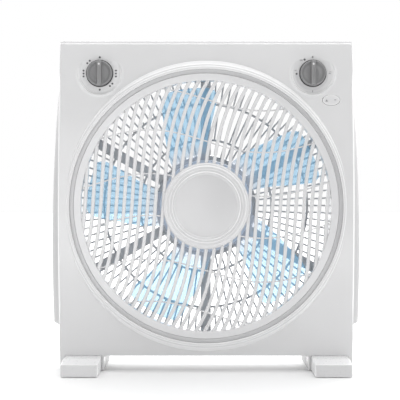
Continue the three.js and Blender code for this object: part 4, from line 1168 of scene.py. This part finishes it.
MARK = (1.24, 2.6)
at_s = dict(x=-KNOB_X, y=K_Y, z=KNOB_Z)
at_t = dict(x=KNOB_X, y=K_Y, z=KNOB_Z)
R_DOT = 19.45
dots = [polar(R_DOT, 90), polar(R_DOT, 270)]
for base in (134.3, -44.7):
    dots += [polar(R_DOT, base - 6.0), polar(R_DOT, base + 6.0)]
for s in (-1, 1):
    dots += [(s * R_DOT, 3.5), (s * R_DOT, 0.0), (s * R_DOT, -3.5)]
legend([disc(1.22, MARK[0], MARK[1], u, v) for u, v in dots], "speed_marks", INK, at_s)
rings_ = []
for a in (45, 225):
    u, v = polar(R_DOT, a)
    rings_.append(moved(lathe([(0.45, MARK[0]), (1.15, MARK[0]), (1.15, MARK[1]), (0.45, MARK[1])], 24), u, 0, v))
legend(rings_, "speed_off_marks", INK_PALE, at_s)


def strip(poly, y0=MARK[0], y1=MARK[1]):
    return loft([[(u, y, v) for u, v in poly] for y in (y0, y1)])


legend([disc(1.3, MARK[0], MARK[1], *polar(19.4, 120)), disc(1.3, MARK[0], MARK[1], *polar(19.3, 181))], "timer_dots", INK, at_t)
wedge_in, wedge_out = [], []
for k in range(61):
    a = -3 - 172 * k / 60
    wedge_in.append(polar(18.35, a))
    wedge_out.append(polar(18.75 + 2.5 * (k / 60) ** 0.9, a))
wedge = []
vv, ff = [], []
for (a1, b1) in zip(wedge_in, wedge_out):
    vv += [(a1[0], MARK[0], a1[1]), (b1[0], MARK[0], b1[1]), (b1[0], MARK[1], b1[1]), (a1[0], MARK[1], a1[1])]
for k in range(60):
    o = 4 * k
    for j in range(4):
        ff.append((o + j, o + (j + 1) % 4, o + 4 + (j + 1) % 4, o + 4 + j))
ff += [(0, 1, 2, 3), (240, 241, 242, 243)]
tick = [strip([(-0.42, -22.5), (0.42, -22.5), (0.42, -20.2), (-0.42, -20.2)]), strip([(19.3, -0.4), (21.8, -0.4), (21.8, 0.4), (19.3, 0.4)])]
legend([(vv, ff)], "timer_wedge", INK_PALE, at_t)
legend(tick, "timer_ticks", INK_MID, at_t)


def text(name, words, size, u, v, at, mat, body="housing"):
    """Generic numerals, as thin raised print."""
    cu = bpy.data.curves.new(name, "FONT")
    cu.body = words
    cu.size = size * 1.35
    cu.align_x = "CENTER"
    cu.align_y = "CENTER"
    cu.resolution_u = 3
    tmp = bpy.data.objects.new(name + "_t", cu)
    scene.collection.objects.link(tmp)
    bpy.context.view_layer.update()
    me = bpy.data.meshes.new_from_object(tmp.evaluated_get(bpy.context.evaluated_depsgraph_get()))
    bm = bmesh.new()
    bm.from_mesh(me)
    bmesh.ops.remove_doubles(bm, verts=bm.verts, dist=1e-4)
    faces = list(bm.faces)
    ext = bmesh.ops.extrude_face_region(bm, geom=faces)
    for e in ext["geom"]:
        if isinstance(e, bmesh.types.BMVert):
            e.co.z += 1.0
    bmesh.ops.recalc_face_normals(bm, faces=bm.faces)
    bm.to_mesh(me)
    bm.free()
    verts = [(vx.co.x + u, MARK[0] if vx.co.z > 0.5 else MARK[1], vx.co.y + v) for vx in me.vertices]
    faces = [tuple(p.vertices) for p in me.polygons]
    bpy.data.objects.remove(tmp)
    bpy.data.meshes.remove(me)
    done(raw(name, moved((verts, faces), **at), weld=0.0005), body, mat, weighted=False)


text("timer_zero", "0", 2.6, *polar(19.6, 90), at_t, INK)
text("timer_on", "ON", 1.75, *polar(21.0, 131), at_t, INK_MID)
text("timer_top", "180", 1.7, -20.8, 3.5, at_t, INK_MID)
text("timer_sixty", "60", 1.75, 21.2, 1.9, at_t, INK_MID)

# oval rocker: saddle face, a small arrow head and a bar
rings = []
for d, y in [(0.6, 6.0), (0.3, 3.5), (0.22, 2.0), (0.22, 0.8), (0.17, 0.45), (0.13, 0.2), (0.15, -0.05), (0.24, -0.25), (0.42, -0.42), (0.74, -0.56), (1.15, -0.66), (1.6, -0.72)]:
    rings.append([((10.38 - d) * math.cos(a), y, (6.38 - d) * math.sin(a)) for a in np.linspace(0, 2 * PI, 96, endpoint=False)])
for f in (0.85, 0.68, 0.5, 0.33, 0.16):
    rings.append([(8.78 * f * math.cos(a), -0.72 - 0.3 * (1 - f * f), 4.78 * f * math.sin(a)) for a in np.linspace(0, 2 * PI, 96, endpoint=False)])
at_r = dict(x=ROCK_X, y=R_Y, z=ROCK_Z, tilt=R_TILT)
done(raw("rocker_oval", moved(loft(rings), **at_r)), "rocker", "shell", ["louvre_rocker"], sharp=50)
done(raw("rocker_arrow", moved(strip([(-7.1, -1.8), (-4.0, -1.8), (-5.55, 0.9)], -1.02, -0.5), **at_r)), "rocker", INK_MID)
done(raw("rocker_bar", moved(strip([(3.5, -0.25), (5.9, -0.25), (5.9, 0.65), (3.5, 0.65)], -1.02, -0.5), **at_r)), "rocker", INK_MID)
done(raw("rocker_bar_low", moved(strip([(3.9, -1.7), (5.5, -1.7), (5.5, -1.15), (3.9, -1.15)], -1.02, -0.5), **at_r)), "rocker", INK_PALE)

# where the lead enters
turn_piece("lead_gland", [(0, 38), (6.9, 38), (6.9, 47.3), (9.5, 47.3, 0.8), (9.0, 50.2, 0.6), (8.2, 50.6, 0.3), (8.6, 51.4, 0.3), (7.8, 53.2, 0.3), (7.2, 53.5, 0.3), (7.4, 54.3, 0.3), (6.2, 57, 0.8), (4.2, 57, 0.5), (4.2, 41, 0.4), (0, 41)], "housing", "black_plastic", "cord_gland", 120, 40, r=0.3, seg=64)

# ------------------------------------------------------------------ any CAD node still showing gets its slot's material
for row in frame["record"]["subparts"]:
    o = NODES.get(row["node"])
    if o is None:
        continue
    o.data.materials.clear()
    o.data.materials.append(MATS[row["material_slot"]])

# ------------------------------------------------------------------ stage, light
scene.view_settings.view_transform = "Standard"
scene.view_settings.look = "None"
scene.view_settings.exposure = 0.0
scene.view_settings.gamma = 1.0

me = bpy.data.meshes.new("floor")
me.from_pydata([(-14, -14, 0), (14, -14, 0), (14, 14, 0), (-14, 14, 0)], [], [(0, 1, 2, 3)])
floor = bpy.data.objects.new("floor", me)
scene.collection.objects.link(floor)
fm = bpy.data.materials.new("floor_white")
nt, bs = nodes_of(fm)
tc = nt.nodes.new("ShaderNodeTexCoord")
nt.links.new(mixed(nt, span(nt, noise(nt, tc.outputs["Object"], 3.0), 0, 1), (0.87, 0.87, 0.87), (0.89, 0.89, 0.89)), bs.inputs["Base Color"])
bs.inputs["Roughness"].default_value = 0.6
bs.inputs["Specular IOR Level"].default_value = 0.1
# painted shadow and light on the floor: it glows less near the fan, a painted contact shadow, and glows more toward the
# back (+Y), so the painted shadow lies under the front of the fan
bs.inputs["Emission Color"].default_value = (1, 1, 1, 1)
ln = nt.nodes.new("ShaderNodeVectorMath")
ln.operation = "LENGTH"
nt.links.new(tc.outputs["Object"], ln.inputs[0])
sp = nt.nodes.new("ShaderNodeSeparateXYZ")
nt.links.new(tc.outputs["Object"], sp.inputs[0])
painted_floor_light_and_shade = nt.nodes.new("ShaderNodeMath")
painted_floor_light_and_shade.operation = "ADD"
nt.links.new(span(nt, ln.outputs["Value"], 0.05, 0.27, 0.15, 1.3), painted_floor_light_and_shade.inputs[0])
nt.links.new(span(nt, sp.outputs["Y"], 0.0, 0.40, -0.022, 0.035), painted_floor_light_and_shade.inputs[1])
nt.links.new(painted_floor_light_and_shade.outputs[0], bs.inputs["Emission Strength"])
me.materials.append(fm)

world = bpy.data.worlds.new("world")
scene.world = world
world.use_nodes = True
wt = world.node_tree
wt.nodes.clear()
wo = wt.nodes.new("ShaderNodeOutputWorld")


def sky(front, side, left, right, lo=-1.0, hi=0.0, back=1.0, narrow=0.0):
    """Soft studio surround: its strength toward the front (-Y), round the sides, and a slow fall from right to left."""
    tc = wt.nodes.new("ShaderNodeTexCoord")
    sp = wt.nodes.new("ShaderNodeSeparateXYZ")
    wt.links.new(tc.outputs["Generated"], sp.inputs[0])
    depth = span(wt, sp.outputs["Y"], front, side, lo, hi)
    rear = span(wt, sp.outputs["Y"], 1.0, back, 0.1, 1.0)
    m0 = wt.nodes.new("ShaderNodeMath")
    m0.operation = "MULTIPLY"
    wt.links.new(depth, m0.inputs[0])
    wt.links.new(rear, m0.inputs[1])
    across = span(wt, sp.outputs["X"], left, right, -1.0, 1.0)
    m = wt.nodes.new("ShaderNodeMath")
    m.operation = "MULTIPLY"
    wt.links.new(m0.outputs[0], m.inputs[0])
    wt.links.new(across, m.inputs[1])
    sq = wt.nodes.new("ShaderNodeMath")
    sq.operation = "MULTIPLY"
    wt.links.new(sp.outputs["X"], sq.inputs[0])
    wt.links.new(sp.outputs["X"], sq.inputs[1])
    last = wt.nodes.new("ShaderNodeMath")
    last.operation = "MULTIPLY"
    wt.links.new(m.outputs[0], last.inputs[0])
    wt.links.new(span(wt, sq.outputs[0], 1.0, 1.0 - narrow, 0.0, 1.0), last.inputs[1])
    b = wt.nodes.new("ShaderNodeBackground")
    b.inputs["Color"].default_value = (1, 1, 1, 1)
    wt.links.new(last.outputs[0], b.inputs["Strength"])
    return b.outputs[0]


lp = wt.nodes.new("ShaderNodeLightPath")
plain = wt.nodes.new("ShaderNodeBackground")
plain.inputs["Color"].default_value = (1, 1, 1, 1)
plain.inputs["Strength"].default_value = 1.0
m1 = wt.nodes.new("ShaderNodeMixShader")
m2 = wt.nodes.new("ShaderNodeMixShader")
wt.links.new(lp.outputs["Is Diffuse Ray"], m1.inputs[0])
wt.links.new(plain.outputs[0], m1.inputs[1])
wt.links.new(sky(0.40, 1.12, 0.74, 1.06, back=1.7, narrow=0.30), m1.inputs[2])
wt.links.new(lp.outputs["Is Glossy Ray"], m2.inputs[0])
wt.links.new(m1.outputs[0], m2.inputs[1])
wt.links.new(sky(0.40, 3.4, 0.60, 1.0, lo=-0.98, hi=-0.60, narrow=0.72), m2.inputs[2])
wt.links.new(m2.outputs[0], wo.inputs["Surface"])


def area(name, loc, target, size, power, size_y=None):
    d = bpy.data.lights.new(name, "AREA")
    d.energy = power
    d.shape = "RECTANGLE" if size_y else "SQUARE"
    d.size = size
    if size_y:
        d.size_y = size_y
    o = bpy.data.objects.new(name, d)
    o.location = loc
    o.rotation_euler = (Vector(target) - Vector(loc)).to_track_quat("-Z", "Y").to_euler()
    scene.collection.objects.link(o)
    return o


area("top", (0.05, -0.25, 1.55), (0, 0, 0.1), 1.8, 9.0)
area("key", (1.25, -1.35, 0.9), (0, 0, 0.2), 0.9, 2.6)
area("fill", (-0.4, -1.5, 0.16), (0, 0, 0.08), 0.9, 4.3)
area("behind", (0.35, 1.7, 1.1), (0, 0, 0.2), 1.4, 16.0)

area("low", (0.0, -0.62, 0.07), (0, -0.05, 0.06), 1.0, 0.30, 0.08)
